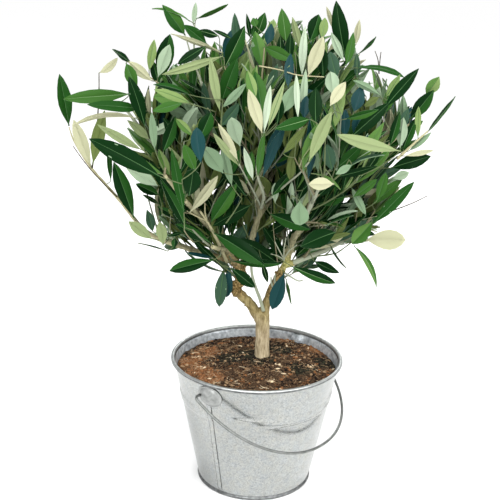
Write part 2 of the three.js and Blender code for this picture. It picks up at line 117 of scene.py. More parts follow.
# Trunk and main boughs
TRUNK = {
    "route": [(5.2, 12, 111), (5.1, 12, 118), (5, 12, 124), (5, 12, 137), (4.5, 12, 150),
              (4.4, 12, 158), (4.8, 12, 163), (5, 12, 165.5)],
    "radii": [7.4, 6.7, 6.4, 6.3, 6.4, 6.5, 4.6, 2],
}
MAIN_BOUGHS = {
    "main_left": ([(3, 12, 151), (-7, 12, 167), (-20, 11, 183), (-17, 12, 198), (-27, 12, 214),
                   (-40, 13, 238)], (4.9, 2.9)),
    "main_right": ([(6, 12, 152), (9, 12, 174), (16, 12, 192), (24, 13, 207), (31, 14, 234)],
                   (3.7, 2.6)),
    "main_centre": ([(-18, 12, 192), (-13, 17, 212), (-7, 18, 232), (1, 18, 262)], (3.2, 2.2)),
}
STUB = ([(-20, 11, 184), (-27, 9, 189)], (4.4, 3.1))
KNOB = [((-21, 8, 181), 4.6), ((-17, 9.5, 189), 4.3), ((-24, 10, 187), 3.8), ((-14, 11, 196), 3.6)]
CALLUS_AT = (25, 12, 208)
VOXEL = 0.5
BARK_SEED = 31
# How a main bough's thickness varies along it, and how a bough swells where it leaves one
WAVINESS = {"high": 0.05, "step": 1.7}
COLLAR = {"swell": 0.35, "reach": 3.5}
# Old spurs on each main bough
SPURS = {"count": 5, "from": 0.2, "step": 0.15, "stray": (0, 0.05), "length": (1.2, 4), "foot": 1.5,
         "tip": (0.7, 1.2)}
# The bark's relief: how fine each noise is across and along, and how high
BARK_GRAIN = ((0.9, 0.16, 0.34), (2.1, 0.5, 0.16))
BARK_LUMPS = {"across": 0.22, "along": 0.2, "high": 0.32, "knotty": 0.55}
BARK_LIFT = 0.22
# Heights over which the bark turns knotty, and smooth again
KNOTTY_SPAN = ((150, 165), (205, 230))
# Thin pale shoots and spurs of the main boughs: the pixels that they pass through, depth y, radii
SHOOTS = [
    (((263.5, 311), (260, 299), (255.5, 287), (252, 274), (251, 258)), 5.5, (1.7, 1.1)),
    (((273, 288), (271.5, 283), (271, 277)), 9, (1.3, 0.6)),
    (((275, 284), (274.5, 279), (275.5, 274)), 9, (1.2, 0.6)),
    (((285, 273), (291, 277), (299, 281), (303, 280)), 9, (1.0, 0.5)),
]

# Crown: its axis, the shell that holds every leaf, and a row for each bough with its mass
CROWN_X, CROWN_Y = -9, 12
SHELL = {"middle": 335, "half": 180, "deep": 162, "above": 109, "below": 165}
SKIRT = 172
CROWN_COLUMNS = ("name", "from", "at", "turn", "reach", "height", "lean", "thick")
CROWN = [dict(zip(CROWN_COLUMNS, row)) for row in [
    ("low_left", "main_left", 0.68, -93, 174, 328, 0.82, 2.9),
    ("low_front", "main_left", 0.8, -26, 118, 268, 0.6, 2.2),
    ("low_right", "main_right", 0.66, 84, 155, 292, 0.62, 2.6),
    ("low_back", "main_right", 0.74, 168, 130, 278, 0.6, 2.2),
    ("left", "main_left", 0.99, -86, 146, 394, 0.5, 2.4),
    ("front_left", "main_left", 0.92, -40, 146, 350, 0.55, 2.3),
    ("front_right", "main_right", 0.93, 26, 146, 350, 0.55, 2.3),
    ("right", "main_right", 0.99, 84, 169, 378, 0.5, 2.4),
    ("back_right", "main_centre", 0.86, 140, 160, 356, 0.52, 2.2),
    ("back_left", "main_left", 0.86, -142, 160, 356, 0.55, 2.3),
    ("top_left", "main_centre", 0.93, -75, 82, 432, 0.45, 2),
    ("top_front", "main_centre", 0.96, 2, 80, 418, 0.45, 2),
    ("top_right", "main_centre", 0.98, 70, 80, 441, 0.42, 2.1),
    ("top_back", "main_centre", 0.99, 172, 88, 430, 0.42, 2),
]]
MASS_MIDDLE = 0.58
STEM_END_RADIUS = 0.9
# The share of a leaf's length by which a stem stops short of its mass's tip
STEM_SHORT = 0.8
# Where a line enters its mass's space
ENTRY = {"samples": 60, "margin": 4, "least": 0.2}

# Leaves and twigs; what lies in a span is drawn from it
ANY_TURN = (0, 6.3)
LEAF = {"length": 58, "slender": 0.205, "thick": 0.45, "step": 11, "lift": 0.35, "outward": 0.34,
        "tries": 8, "rib_sunk": 0.12, "rib_proud": 0.35, "slimness": (0.85, 1.18),
        "angle": (0.55, 0.95), "stray": (-0.3, 0.3), "size": (0.78, 1.1), "shrink": 0.12,
        "clear_from": 4, "clear": 2}
TIP_LEAF = {"at": 0.985, "angle": 0.28, "size": (0.6, 0.85)}
LEAF_SHAPE = {"bend": (-0.1, 0.75), "sway": (-0.35, 0.35), "twist": (-0.7, 0.7),
              "fold": (0.08, 0.42), "roll": (0.0, 0.28), "wave": (0.0, 0.16),
              "phase": ANY_TURN, "blunt": (0, 1)}
TWIG = {"length": 62, "radius": 0.95, "step": 7.5, "angle": 0.9, "lift": 0.45, "outward": 0.55,
        "tries": 9, "room": 12, "size": (0.8, 1.1), "shrink": 0.45, "from": 0.06, "over": 0.88,
        "bare": 0.22, "rise": 0.1, "sag": 0.04, "taper": 0.6, "steps": 8, "clear_from": 0.2}
TWIGLET = {"length": 36, "radius": 0.65, "angle": 0.7, "tries": 2, "at": (0.35, 0.62),
           "size": (0.6, 1.0), "bare": 0.35}
INNER_SHOOT = {"length": 44, "step": 8, "angle": 1.0, "size": (0.7, 1.1), "high": 0.95,
               "bare": 0.15, "from": 0.1}
# The share of each main bough from which inner shoots grow
INNER_FROM = {"main_left": 0.4, "main_right": 0.42, "main_centre": 0.05}
STEM_BARE = 0.45
# What changes with each further try to place a leaf or a twig
LEAF_RETRY = {"close": 0.08, "turn": 0.45, "shrink": 0.04}
TWIG_RETRY = {"turn": 0.9, "shrink": 0.08}
GOLDEN_TURN = 2.4
SEED = 7
INNER_SEED = SEED + 1500
SHOWN_SEED = 57
# Steps from one mass's seed, and from one twig's, to the next
MASS_STEP, TWIG_STEP = 97, 13


def unit(v):
    return v / np.linalg.norm(v)


def rotated(v, axis, angle):
    """v turned about a unit axis"""
    c, s = math.cos(angle), math.sin(angle)
    return v * c + np.cross(axis, v) * s + axis * np.dot(axis, v) * (1 - c)


def smooth_step(value, low, high):
    t = min(max((value - low) / (high - low), 0), 1)
    return t * t * (3 - 2 * t)


def ring_angles(sides):
    return [2 * math.pi * k / sides for k in range(sides)]


def seeded(seed):
    """Repeatable numbers from 0 to 1"""
    state = seed

    def draw(low=0.0, high=1.0):
        nonlocal state
        state = (state * 16807) % 2147483647
        return low + (high - low) * state / 2147483647

    return draw


def add_object(name, data):
    thing = bpy.data.objects.new(name, data)
    bpy.context.scene.collection.objects.link(thing)
    return thing


# Camera

def camera_axes():
    forward = np.array([0, math.cos(CAMERA_PITCH), -math.sin(CAMERA_PITCH)])
    up = np.array([0, math.sin(CAMERA_PITCH), math.cos(CAMERA_PITCH)])
    right = np.array([1.0, 0, 0])
    c, s = math.cos(CAMERA_ROLL), math.sin(CAMERA_ROLL)
    return right * c + up * s, up * c - right * s, forward


CAMERA_RIGHT, CAMERA_UP, CAMERA_FORWARD = camera_axes()


def pixel_of(points):
    """Where points fall in the photograph's frame, with their distance from the camera"""
    rel = np.atleast_2d(points) - CAMERA_AT
    far = rel @ CAMERA_FORWARD
    across = FRAME_SIZE / 2 + FOCAL * (rel @ CAMERA_RIGHT) / far
    down = FRAME_SIZE / 2 - FOCAL * (rel @ CAMERA_UP) / far
    return np.stack([across, down, far], axis=1)


def place_of(pixel, y):
    """The point in the plane y that is seen at a pixel"""
    across = (pixel[0] - FRAME_SIZE / 2) / FOCAL
    down = (pixel[1] - FRAME_SIZE / 2) / FOCAL
    ray = CAMERA_FORWARD + CAMERA_RIGHT * across - CAMERA_UP * down
    return CAMERA_AT + ray * (y - CAMERA_AT[1]) / ray[1]


def add_camera():
    data = bpy.data.cameras.new("camera")
    data.sensor_width = SENSOR
    data.lens = FOCAL / FRAME_SIZE * SENSOR
    data.clip_start = 0.05
    data.clip_end = 50
    camera = add_object("camera", data)
    axes = Matrix([Vector(CAMERA_RIGHT), Vector(CAMERA_UP), Vector(-CAMERA_FORWARD)])
    camera.matrix_world = Matrix.Translation(Vector(CAMERA_AT * MM)) @ axes.transposed().to_4x4()
    bpy.context.scene.camera = camera


add_camera()


# Meshes

def make_piece(name, verts, faces, materials, face_materials=None, smooth=True, sharp=None):
    """An object from points in millimetres; edges that join points marked as sharp stay crisp"""
    mesh = bpy.data.meshes.new(name)
    faces = faces if isinstance(faces, list) else faces.tolist()
    mesh.from_pydata((np.asarray(verts) * MM).tolist(), [], faces)
    for material in materials:
        mesh.materials.append(material)
    if face_materials is not None:
        slots = np.asarray(face_materials, dtype=np.int32)
        mesh.polygons.foreach_set("material_index", slots)
    mesh.polygons.foreach_set("use_smooth", np.full(len(mesh.polygons), smooth))
    mesh.update()
    if sharp is not None:
        ends = np.empty(len(mesh.edges) * 2, dtype=np.int32)
        mesh.edges.foreach_get("vertices", ends)
        ends = ends.reshape(-1, 2)
        layer = mesh.attributes.new("sharp_edge", "BOOLEAN", "EDGE")
        layer.data.foreach_set("value", sharp[ends[:, 0]] & sharp[ends[:, 1]])
    return add_object(name, mesh)


def dress(piece, body=ROOT, nodes=()):
    """Lets a piece ride on its body and the CAD nodes that it stands for"""
    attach(piece, body)
    if nodes:
        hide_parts(*nodes)


def weld(piece):
    """Joins points that lie together and drops the faces that this empties"""
    mesh = bmesh.new()
    mesh.from_mesh(piece.data)
    bmesh.ops.remove_doubles(mesh, verts=mesh.verts, dist=1e-6)
    bmesh.ops.recalc_face_normals(mesh, faces=mesh.faces)
    mesh.to_mesh(piece.data)
    mesh.free()


def apply_modifiers(piece):
    bpy.context.view_layer.update()
    depsgraph = bpy.context.evaluated_depsgraph_get()
    mesh = bpy.data.meshes.new_from_object(piece.evaluated_get(depsgraph))
    piece.modifiers.clear()
    old = piece.data
    piece.data = mesh
    bpy.data.meshes.remove(old)
    mesh.polygons.foreach_set("use_smooth", np.full(len(mesh.polygons), True))


class Bundle:
    """Points, faces and tones of many small things that make one mesh; tones are its materials"""

    def __init__(self, tones):
        self.tones = tones
        self.verts, self.faces, self.slots, self.count = [], [], [], 0

    def add(self, verts, faces, tone=None):
        slot = list(self.tones).index(tone) if tone else 0
        self.verts.append(np.asarray(verts, float))
        self.faces += [[self.count + i for i in face] for face in faces]
        self.slots += [slot] * len(faces)
        self.count += len(verts)

    def piece(self, name, smooth=True):
        materials = list(self.tones.values())
        verts = np.concatenate(self.verts)
        return make_piece(name, verts, self.faces, materials, self.slots, smooth)


class Limb:
    """A centre line with its radii, read by the share of its length"""

    WAY_STEP = 0.03

    def __init__(self, points, radii):
        self.points = np.array(points, float)
        self.radii = np.array(radii, float)
        steps = np.linalg.norm(np.diff(self.points, axis=0), axis=1)
        self.reach = np.concatenate([[0], np.cumsum(steps)])
        self.length = self.reach[-1]

    def at(self, t):
        columns = self.points.T
        return np.array([np.interp(t * self.length, self.reach, column) for column in columns])

    def way(self, t):
        return unit(self.at(min(t + self.WAY_STEP, 1)) - self.at(max(t - self.WAY_STEP, 0)))

    def radius(self, t):
        return float(np.interp(t * self.length, self.reach, self.radii))

    def part(self, low, high, steps):
        shares = np.linspace(low, high, steps + 1)
        return Limb([self.at(t) for t in shares], [self.radius(t) for t in shares])


def ring_faces(rows, sides):
    """The faces between rings of points, row by row"""
    for row in range(rows):
        for k in range(sides):
            a, b = row * sides + k, row * sides + (k + 1) % sides
            yield a, b, b + sides, a + sides


def tube(points, radii, sides):
    """A closed tube round a run of points"""
    points = np.asarray(points, float)
    last = len(points) - 1
    verts, across = [], None
    for i, (point, radius) in enumerate(zip(points, radii)):
        along = unit(points[min(i + 1, last)] - points[max(i - 1, 0)])
        if across is None:
            across = np.cross([0, -1, 0], along)
            if np.linalg.norm(across) < 0.1:
                across = np.array([1.0, 0, 0])
        across = unit(across - along * np.dot(across, along))
        up = np.cross(along, across)
        for angle in ring_angles(sides):
            verts.append(point + radius * (across * math.cos(angle) + up * math.sin(angle)))
    ends = [tuple(reversed(range(sides))), tuple(last * sides + k for k in range(sides))]
    return verts, [*ring_faces(last, sides), *ends]


def smooth_route(route, steps):
    """A centripetal curve through a route's points, extended past both ends by reflection"""
    p = [np.array(q, float) for q in route]
    p = [2 * p[0] - p[1]] + p + [2 * p[-1] - p[-2]]
    curve = []
    for a, b, c, d in zip(p, p[1:], p[2:], p[3:]):
        t1 = np.linalg.norm(b - a) ** 0.5
        t2 = t1 + np.linalg.norm(c - b) ** 0.5
        t3 = t2 + np.linalg.norm(d - c) ** 0.5
        for t in np.linspace(t1, t2, steps, endpoint=False):
            ab = a + (b - a) * t / t1
            bc = b + (c - b) * (t - t1) / (t2 - t1)
            cd = c + (d - c) * (t - t2) / (t3 - t2)
            abc = ab + (bc - ab) * t / t2
            bcd = bc + (cd - bc) * (t - t1) / (t3 - t1)
            curve.append(abc + (bcd - abc) * (t - t1) / (t2 - t1))
    curve.append(p[-2])
    return np.array(curve)


def bezier(start, bend, tip, steps):
    t = np.linspace(0, 1, steps + 1)[:, None]
    return (1 - t) ** 2 * start + 2 * t * (1 - t) * bend + t ** 2 * tip


# Materials

def new_material(name, colour, roughness, metallic=0.0, specular=0.5):
    material = bpy.data.materials.new(name)
    material.use_nodes = True
    shader = material.node_tree.nodes["Principled BSDF"]
    shader.inputs["Base Color"].default_value = (*colour, 1)
    shader.inputs["Roughness"].default_value = roughness
    shader.inputs["Metallic"].default_value = metallic
    shader.inputs["Specular IOR Level"].default_value = specular
    return material


class Nodes:
    """Short calls for the nodes of one material"""

    def __init__(self, material):
        self.tree = material.node_tree
        self.shader = self.tree.nodes["Principled BSDF"]
        self.place = self.node("TexCoord").outputs["Object"]

    def node(self, kind, **inputs):
        """A node with its inputs filled; an input's name has _ for a space"""
        node = self.tree.nodes.new("ShaderNode" + kind)
        for name, value in inputs.items():
            self.fill(node.inputs[name.replace("_", " ")], value)
        return node

    def fill(self, socket, value):
        if isinstance(value, bpy.types.NodeSocket):
            self.tree.links.new(value, socket)
        else:
            socket.default_value = (*value, 1) if socket.type == "RGBA" else value

    def stretched(self, scale):
        return self.node("Mapping", Scale=scale, Vector=self.place).outputs["Vector"]

    def noise(self, scale, detail=4, rough=0.55, vector=None):
        place = vector or self.place
        node = self.node("TexNoise", Scale=scale, Detail=detail, Roughness=rough, Vector=place)
        return node.outputs["Fac"]

    def cells(self, scale):
        return self.node("TexVoronoi", Scale=scale, Vector=self.place).outputs["Color"]

    def ramp(self, value, *stops):
        node = self.node("ValToRGB", Fac=value)
        elements = node.color_ramp.elements
        while len(elements) < len(stops):
            elements.new(0.5)
        for element, (position, colour) in zip(elements, stops):
            element.position = position
            element.color = (*colour, 1)
        return node.outputs["Color"]

    def span(self, value, low, high, from_low=0.0, from_high=1.0):
        node = self.node("MapRange", Value=value, From_Min=from_low, From_Max=from_high,
                         To_Min=low, To_Max=high)
        return node.outputs["Result"]

    def mix(self, factor, first, second, kind="MIX"):
        node = self.node("Mix")
        node.data_type = "RGBA"
        node.blend_type = kind
        for index, value in ((0, factor), (6, first), (7, second)):
            self.fill(node.inputs[index], value)
        return node.outputs[2]

    def math(self, kind, first, second):
        node = self.node("Math")
        node.operation = kind
        self.fill(node.inputs[0], first)
        self.fill(node.inputs[1], second)
        return node.outputs[0]

    def nearness(self, spots, reach):
        """From 0 to 1 as a place gets near to any of the spots"""
        total = None
        for spot in spots:
            node = self.node("VectorMath")
            node.operation = "DISTANCE"
            self.fill(node.inputs[0], self.place)
            self.fill(node.inputs[1], Vector(spot) * MM)
            share = self.span(node.outputs["Value"], 1, 0, 0, reach * MM)
            total = share if total is None else self.math("MAXIMUM", total, share)
        return total

    def height(self):
        return self.node("SeparateXYZ", Vector=self.place).outputs["Z"]

    def bump(self, height, strength, distance):
        node = self.node("Bump", Strength=strength, Distance=distance, Height=height)
        self.fill(self.shader.inputs["Normal"], node.outputs["Normal"])

    def colour(self, value):
        self.fill(self.shader.inputs["Base Color"], value)

    def rough(self, value):
        self.fill(self.shader.inputs["Roughness"], value)


def galvanised_sheet():
    """Zinc-dipped sheet that mirrors the bail: fine spangle in close greys, faint cream bloom, and
    a dark patch low on the left painted as a reflection of shade
    """
    material = new_material("galvanised_sheet", (0.64, 0.655, 0.64), 0.2, metallic=1.0)
    n = Nodes(material)
    tone = n.ramp(n.cells(700), (0.0, (0.38, 0.39, 0.38)), (1.0, (0.54, 0.545, 0.53)))
    # Painted reflection of shade: darker on the left of the wall
    tone = n.mix(n.nearness(PAINTED_SHADE_AT, 60), tone, (0.2, 0.21, 0.207))
    flecks = n.ramp(n.noise(1300, 3, 0.65), (0.36, (0.68, 0.7, 0.72)), (0.56, (1.0, 1.0, 1.0)))
    bloom = n.ramp(n.noise(150, 4, 0.65), (0.35, (0.94, 0.965, 0.99)), (0.68, (1.0, 0.985, 0.94)))
    n.colour(n.mix(1.0, n.mix(1.0, tone, flecks, "MULTIPLY"), bloom, "MULTIPLY"))
    n.rough(n.span(n.noise(300, 3), 0.13, 0.27, 0.3, 0.7))
    n.bump(n.noise(700, 3, 0.6), 0.07, 0.0003)
    return material


def dull_zinc(name, low, high, roughness, metallic=0.9):
    """Zinc that has dulled or been worked: the beads and the inside; also the dark zinc painted as
    shade along the seam's edges and under the rim bead
    """
    material = new_material(name, high, roughness, metallic=metallic)
    n = Nodes(material)
    n.colour(n.ramp(n.noise(240, 4), (0.35, low), (0.65, high)))
    return material


def bark_surface():
    """Young bark: pale beige with lengthwise grain low down, olive-tan at the fork, rough
    orange-brown round the old pruning knob, grey-green above"""
    material = new_material("bark_surface", (0.4, 0.33, 0.2), 0.8, specular=0.2)
    n = Nodes(material)
    grain = n.noise(420, 6, 0.65, n.stretched((1, 1, 0.22)))
    rough = n.noise(520, 5, 0.7)
    patch = n.noise(95, 4, 0.6)
    beige = n.ramp(grain, (0.3, (0.2, 0.15, 0.08)), (0.46, (0.4, 0.325, 0.2)),
                   (0.68, (0.64, 0.54, 0.37)))
    tan = n.ramp(grain, (0.3, (0.11, 0.08, 0.028)), (0.5, (0.27, 0.215, 0.09)),
                 (0.72, (0.48, 0.4, 0.2)))
    knob = n.ramp(rough, (0.34, (0.03, 0.02, 0.006)), (0.5, (0.17, 0.11, 0.035)),
                  (0.66, (0.52, 0.38, 0.17)))
    grey = n.ramp(grain, (0.3, (0.14, 0.135, 0.07)), (0.55, (0.32, 0.305, 0.18)),
                  (0.75, (0.5, 0.47, 0.31)))
    wavy = n.math("ADD", n.height(), n.span(patch, -0.012, 0.012))
    whole = beige
    for low, high, above in ((0.138, 0.162, tan), (0.172, 0.182, knob), (0.204, 0.222, grey)):
        whole = n.mix(n.span(wavy, 0, 1, low, high), whole, above)
    callus = n.ramp(rough, (0.34, (0.1, 0.11, 0.02)), (0.5, (0.36, 0.37, 0.1)),
                    (0.66, (0.62, 0.6, 0.3)))
    whole = n.mix(n.nearness([CALLUS_AT], 11), whole, callus)
    n.colour(n.mix(n.span(patch, 0.0, 0.4, 0.58, 0.75), whole, (0.14, 0.1, 0.04)))
    n.bump(grain, 0.5, 0.0006)
    return material


def on_soil(*pixels):
    """The places on the soil that are seen at pixels"""
    rays = [place_of(pixel, 0) - CAMERA_AT for pixel in pixels]
    return [CAMERA_AT + ray * (SOIL_SHOULDER[1] - CAMERA_AT[2]) / ray[2] for ray in rays]


# Where the peat has dried to orange, where it is darker, and where pale fibres lie
PEAT_WARM_AT = on_soil((188, 361), (196, 370), (210, 378), (280, 338), (318, 348), (206, 352))
PEAT_DARK_AT = on_soil((248, 356), (231, 361), (280, 351), (262, 362), (302, 370), (328, 362))
PEAT_PALE_AT = on_soil((271, 382), (311, 367), (278, 368))


def peat_surface():
    """Peat compost: fibrous brown, orange-brown where it has dried, darker in patches"""
    material = new_material("peat_surface", (0.12, 0.07, 0.04), 0.95, specular=0.15)
    n = Nodes(material)
    fine = n.noise(800, 6, 0.75)
    brown = n.ramp(fine, (0.38, (0.006, 0.004, 0.003)), (0.52, (0.07, 0.04, 0.022)),
                   (0.66, (0.31, 0.19, 0.105)))
    warm = n.ramp(fine, (0.36, (0.05, 0.018, 0.008)), (0.5, (0.24, 0.1, 0.04)),
                  (0.64, (0.53, 0.3, 0.15)))
    darker_peat = n.ramp(fine, (0.4, (0.005, 0.005, 0.003)), (0.54, (0.026, 0.024, 0.014)),
                   (0.68, (0.16, 0.13, 0.08)))
    patches = n.noise(60, 4, 0.6)
    warm_part = n.span(n.math("ADD", patches, n.nearness(PEAT_WARM_AT, 17)), 0, 0.9, 0.62, 1.0)
    dark_part = n.span(n.math("ADD", patches, n.nearness(PEAT_DARK_AT, 19)), 0, 0.95, 0.6, 0.95)
    n.colour(n.mix(dark_part, n.mix(warm_part, brown, warm), darker_peat))
    n.bump(n.noise(520, 6, 0.7), 0.9, 0.0012)
    return material


def plain_tones(prefix, rows):
    """Materials by name from rows of a colour, roughness and specular level"""
    return {name: new_material(prefix + name, colour, roughness, specular=specular)
            for name, (colour, roughness, specular) in rows.items()}


# The bucket's finishes by part of its section
BUCKET_TONES = {
    "outside": galvanised_sheet(),
    # The darker foot bead; the rim bead's lower side also takes this finish, as painted shade
    "foot": dull_zinc("foot_and_painted_shade_zinc", (0.12, 0.125, 0.125), (0.24, 0.25, 0.25), 0.42),
    "rim": dull_zinc("rim_zinc", (0.4, 0.42, 0.415), (0.54, 0.56, 0.55), 0.44),
    "inside": dull_zinc("inner_zinc", (0.29, 0.32, 0.345), (0.66, 0.7, 0.73), 0.3, 0.3),
    # The dark zinc painted as shade along the seam's edges and under the rim bead
    "seam": dull_zinc("painted_shade_zinc", (0.07, 0.07, 0.065), (0.2, 0.2, 0.19), 0.6),
}
EAR_ZINC = dull_zinc("ear_zinc", (0.3, 0.31, 0.3), (0.46, 0.47, 0.46), 0.55)
WIRE = dull_zinc("wire_steel", (0.16, 0.17, 0.16), (0.25, 0.26, 0.25), 0.45)
BARK = bark_surface()
PEAT = peat_surface()

LEAF_TONES = {
    **plain_tones("leaf_", {
        "dark": ((0.003, 0.021, 0.004), 0.36, 0.04),
        "deep": ((0.013, 0.062, 0.009), 0.38, 0.05),
        "mid": ((0.035, 0.108, 0.017), 0.4, 0.06),
        "bright": ((0.08, 0.172, 0.038), 0.42, 0.06),
        "fresh": ((0.175, 0.26, 0.085), 0.45, 0.1),
        # A dark grey-green with a painted grey sheen
        "slate": ((0.035, 0.08, 0.046), 0.42, 0.08),
        # A dark green with a painted blue sheen
        "blue": ((0.008, 0.043, 0.044), 0.34, 0.1),
    }),
    **plain_tones("under_", {
        "sage": ((0.3, 0.395, 0.265), 0.62, 0.15),
        "grey": ((0.175, 0.265, 0.155), 0.6, 0.12),
        "cream": ((0.435, 0.437, 0.278), 0.6, 0.15),
        "straw": ((0.235, 0.295, 0.135), 0.6, 0.15),
        "olive": ((0.11, 0.15, 0.042), 0.58, 0.1),
        "pale": ((0.43, 0.52, 0.38), 0.6, 0.15),
    }),
    **plain_tones("", {
        "rib_dim": ((0.055, 0.13, 0.045), 0.5, 0.1),
        "rib_pale": ((0.14, 0.24, 0.1), 0.5, 0.15),
        # The rib of the blue-sheened leaves, with the same painted sheen
        "rib_blue": ((0.012, 0.055, 0.06), 0.4, 0.1),
    }),
}
TONE_INDEX = {name: i for i, name in enumerate(LEAF_TONES)}
TWIG_TONES = plain_tones("twig_", {
    "beige": ((0.42, 0.39, 0.23), 0.7, 0.2),
    "grey": ((0.33, 0.36, 0.26), 0.7, 0.2),
    "green": ((0.115, 0.15, 0.065), 0.6, 0.2),
    "dark": ((0.06, 0.05, 0.03), 0.7, 0.15),
    "shade": ((0.21, 0.19, 0.115), 0.7, 0.15),
    "shade_grey": ((0.17, 0.19, 0.13), 0.7, 0.15),
})
STEM_TONES = ("beige", "grey")
# Twigs grown by the rule, inside the crown, take these darker tones as painted shade
GROWN_TONES = ("shade", "shade_grey", "green")
PEAT_TONES = plain_tones("", {
    "crumb_dark": ((0.012, 0.008, 0.006), 0.95, 0.15),
    "crumb_brown": ((0.085, 0.05, 0.028), 0.95, 0.15),
    "crumb_orange": ((0.25, 0.11, 0.045), 0.95, 0.15),
    "crumb_moss": ((0.034, 0.036, 0.021), 0.95, 0.15),
    "crumb_tan": ((0.34, 0.225, 0.125), 0.9, 0.2),
    "chip_pale": ((0.78, 0.63, 0.42), 0.8, 0.3),
})


# Bucket

def wall_radius(z):
    return FOOT_RADIUS + WALL_SLOPE * z


def pot_place(radius, turn, z):
    """A place on the pot"""
    return radius * math.sin(turn - PIVOT_TURN), -radius * math.cos(turn - PIVOT_TURN), z


def turn_apart(a, b):
    return (a - b + math.pi) % (2 * math.pi) - math.pi


def from_seam(turn, z):
    """How far round the wall a place is from the middle of the seam"""
    return turn_apart(turn, SEAM["turn"]) * wall_radius(z)


def wall_relief(turn, z):
    """How far the swage and the seam stand out of the plain wall"""
    swage = smooth_step(z, SWAGE["low"] - SWAGE["ramp"], SWAGE["low"])
    swage *= 1 - smooth_step(z, SWAGE["high"], SWAGE["high"] + SWAGE["ramp"])
    across = from_seam(turn, z)
    half = SEAM["width"] / 2
    ends = smooth_step(z, SEAM["low"], SEAM["low"] + SEAM_RISE["low"])
    ends *= 1 - smooth_step(z, SEAM["high"] + SEAM_RISE["high"], SEAM["high"])
    seam = smooth_step(across, *(lap - half for lap in SEAM_RISE["lap"]))
    seam *= 1 - smooth_step(across, half + SEAM_RISE["cut"], half)
    groove = math.exp(-((across - half - GROOVE["off"]) / GROOVE["half"]) ** 2)
    return SWAGE["depth"] * swage + ends * (SEAM["depth"] * seam - GROOVE["depth"] * groove)


def pocket_bulge(turn, z):
    """How far the wall is pressed in behind an ear"""
    high = (z - POCKET["height"]) / POCKET["tall"]
    bulge = 0
    for ear_turn in EAR_TURNS:
        across = turn_apart(turn, ear_turn) * wall_radius(z) / POCKET["wide"]
        inside = 1 - across * across - high * high
        bulge = max(bulge, POCKET["deep"] * math.sqrt(max(inside, 0)))
    return bulge


def bead_arc(centre, radius, start, end, steps):
    """Points of a bead's section; start and end are in half turns"""
    return [(centre[0] + radius * math.cos(a), centre[1] + radius * math.sin(a))
            for a in np.linspace(start * math.pi, end * math.pi, steps + 1)]


def wall_turns():
    """Turns of the wall's columns, closer together across the seam"""
    seam, reach, count = SEAM["turn"], SEAM_COLUMNS["reach"], SEAM_COLUMNS["each_side"]
    fine = [seam + reach * i / count for i in range(-count, count + 1)]
    coarse = [turn for turn in ring_angles(WALL_COLUMNS)
              if abs(turn_apart(turn, seam)) > reach + SEAM_COLUMNS["clear"]]
    return sorted(coarse + fine)


def wall_profile():
    """Rows of the section, from the middle of the floor up the outside and down the inside, each
    with its part; the rim bead's lower side is given the foot's part, so that it takes the foot's
    dark finish as painted shade"""
    rim = (RIM_RADIUS - RIM_BEAD, RIM_HEIGHT - RIM_BEAD)
    foot = (FOOT_RADIUS, FOOT_BEAD)
    rows = [("foot", 0, UNDERSIDE), ("foot", FOOT_RADIUS - FOOT_RING, UNDERSIDE)]
    rows += [("foot", r, z) for r, z in bead_arc(foot, FOOT_BEAD, -0.8, 0.42, 12)]
    outside = np.linspace(WALL_LOW, rim[1] - RIM_BEAD * 0.9, WALL_ROWS["outside"])
    rows += [("outside", 0, z) for z in outside]
    bead = bead_arc(rim, RIM_BEAD, -0.45, 1.1, 14)
    # The rim bead's lower side takes the dark foot finish, as painted shade under the bead
    rows += [("foot" if z < rim[1] else "rim", r, z) for r, z in bead]
    inside = np.linspace(rim[1] - RIM_BEAD, FLOOR, WALL_ROWS["inside"])
    rows += [("inside", 0, z) for z in inside]
    return rows + [("rim", 0, FLOOR)]


def section_radius(part, radius, turn, z):
    """The radius at a turn of a row that has its own, or that follows the wall"""
    if part == "outside":
        return wall_radius(z) + wall_relief(turn, z)
    if part == "inside":
        relief = wall_relief(turn, z) * (z > SWAGE["low"] - SWAGE["inside"])
        return wall_radius(z) - SHEET + relief - pocket_bulge(turn, z)
    return radius


def face_tone(part, turn, z):
    """The finish of a face: dark zinc is painted as shade under the rim bead and along both edges
    of the seam
    """
    # The wall just under the rim bead takes the dark zinc as painted shade
    if part == "outside" and z > PAINTED_SHADE_UNDER_RIM:
        return "seam"
    if part != "outside" or not SEAM["low"] < z < SEAM["high"]:
        return part
    across = from_seam(turn, z)
    half = SEAM["width"] / 2
    cut, lap = ([side * half + edge for edge in SEAM_PAINTED_SHADE[name]]
                for side, name in ((1, "cut"), (-1, "lap")))
    return "seam" if cut[0] < across < cut[1] or lap[0] < across < lap[1] else part


def make_bucket():
    turns, rows = wall_turns(), wall_profile()
    verts = [pot_place(section_radius(part, radius, turn, z), turn, z)
             for part, radius, z in rows for turn in turns]
    tones = [list(BUCKET_TONES).index(face_tone(part, turn, z))
             for part, _, z in rows[:-1] for turn in turns]
    faces = list(ring_faces(len(rows) - 1, len(turns)))
    bucket = make_piece("bucket_sheet", verts, faces, list(BUCKET_TONES.values()), tones)
    weld(bucket)
    dress(bucket, nodes=["bucket"])


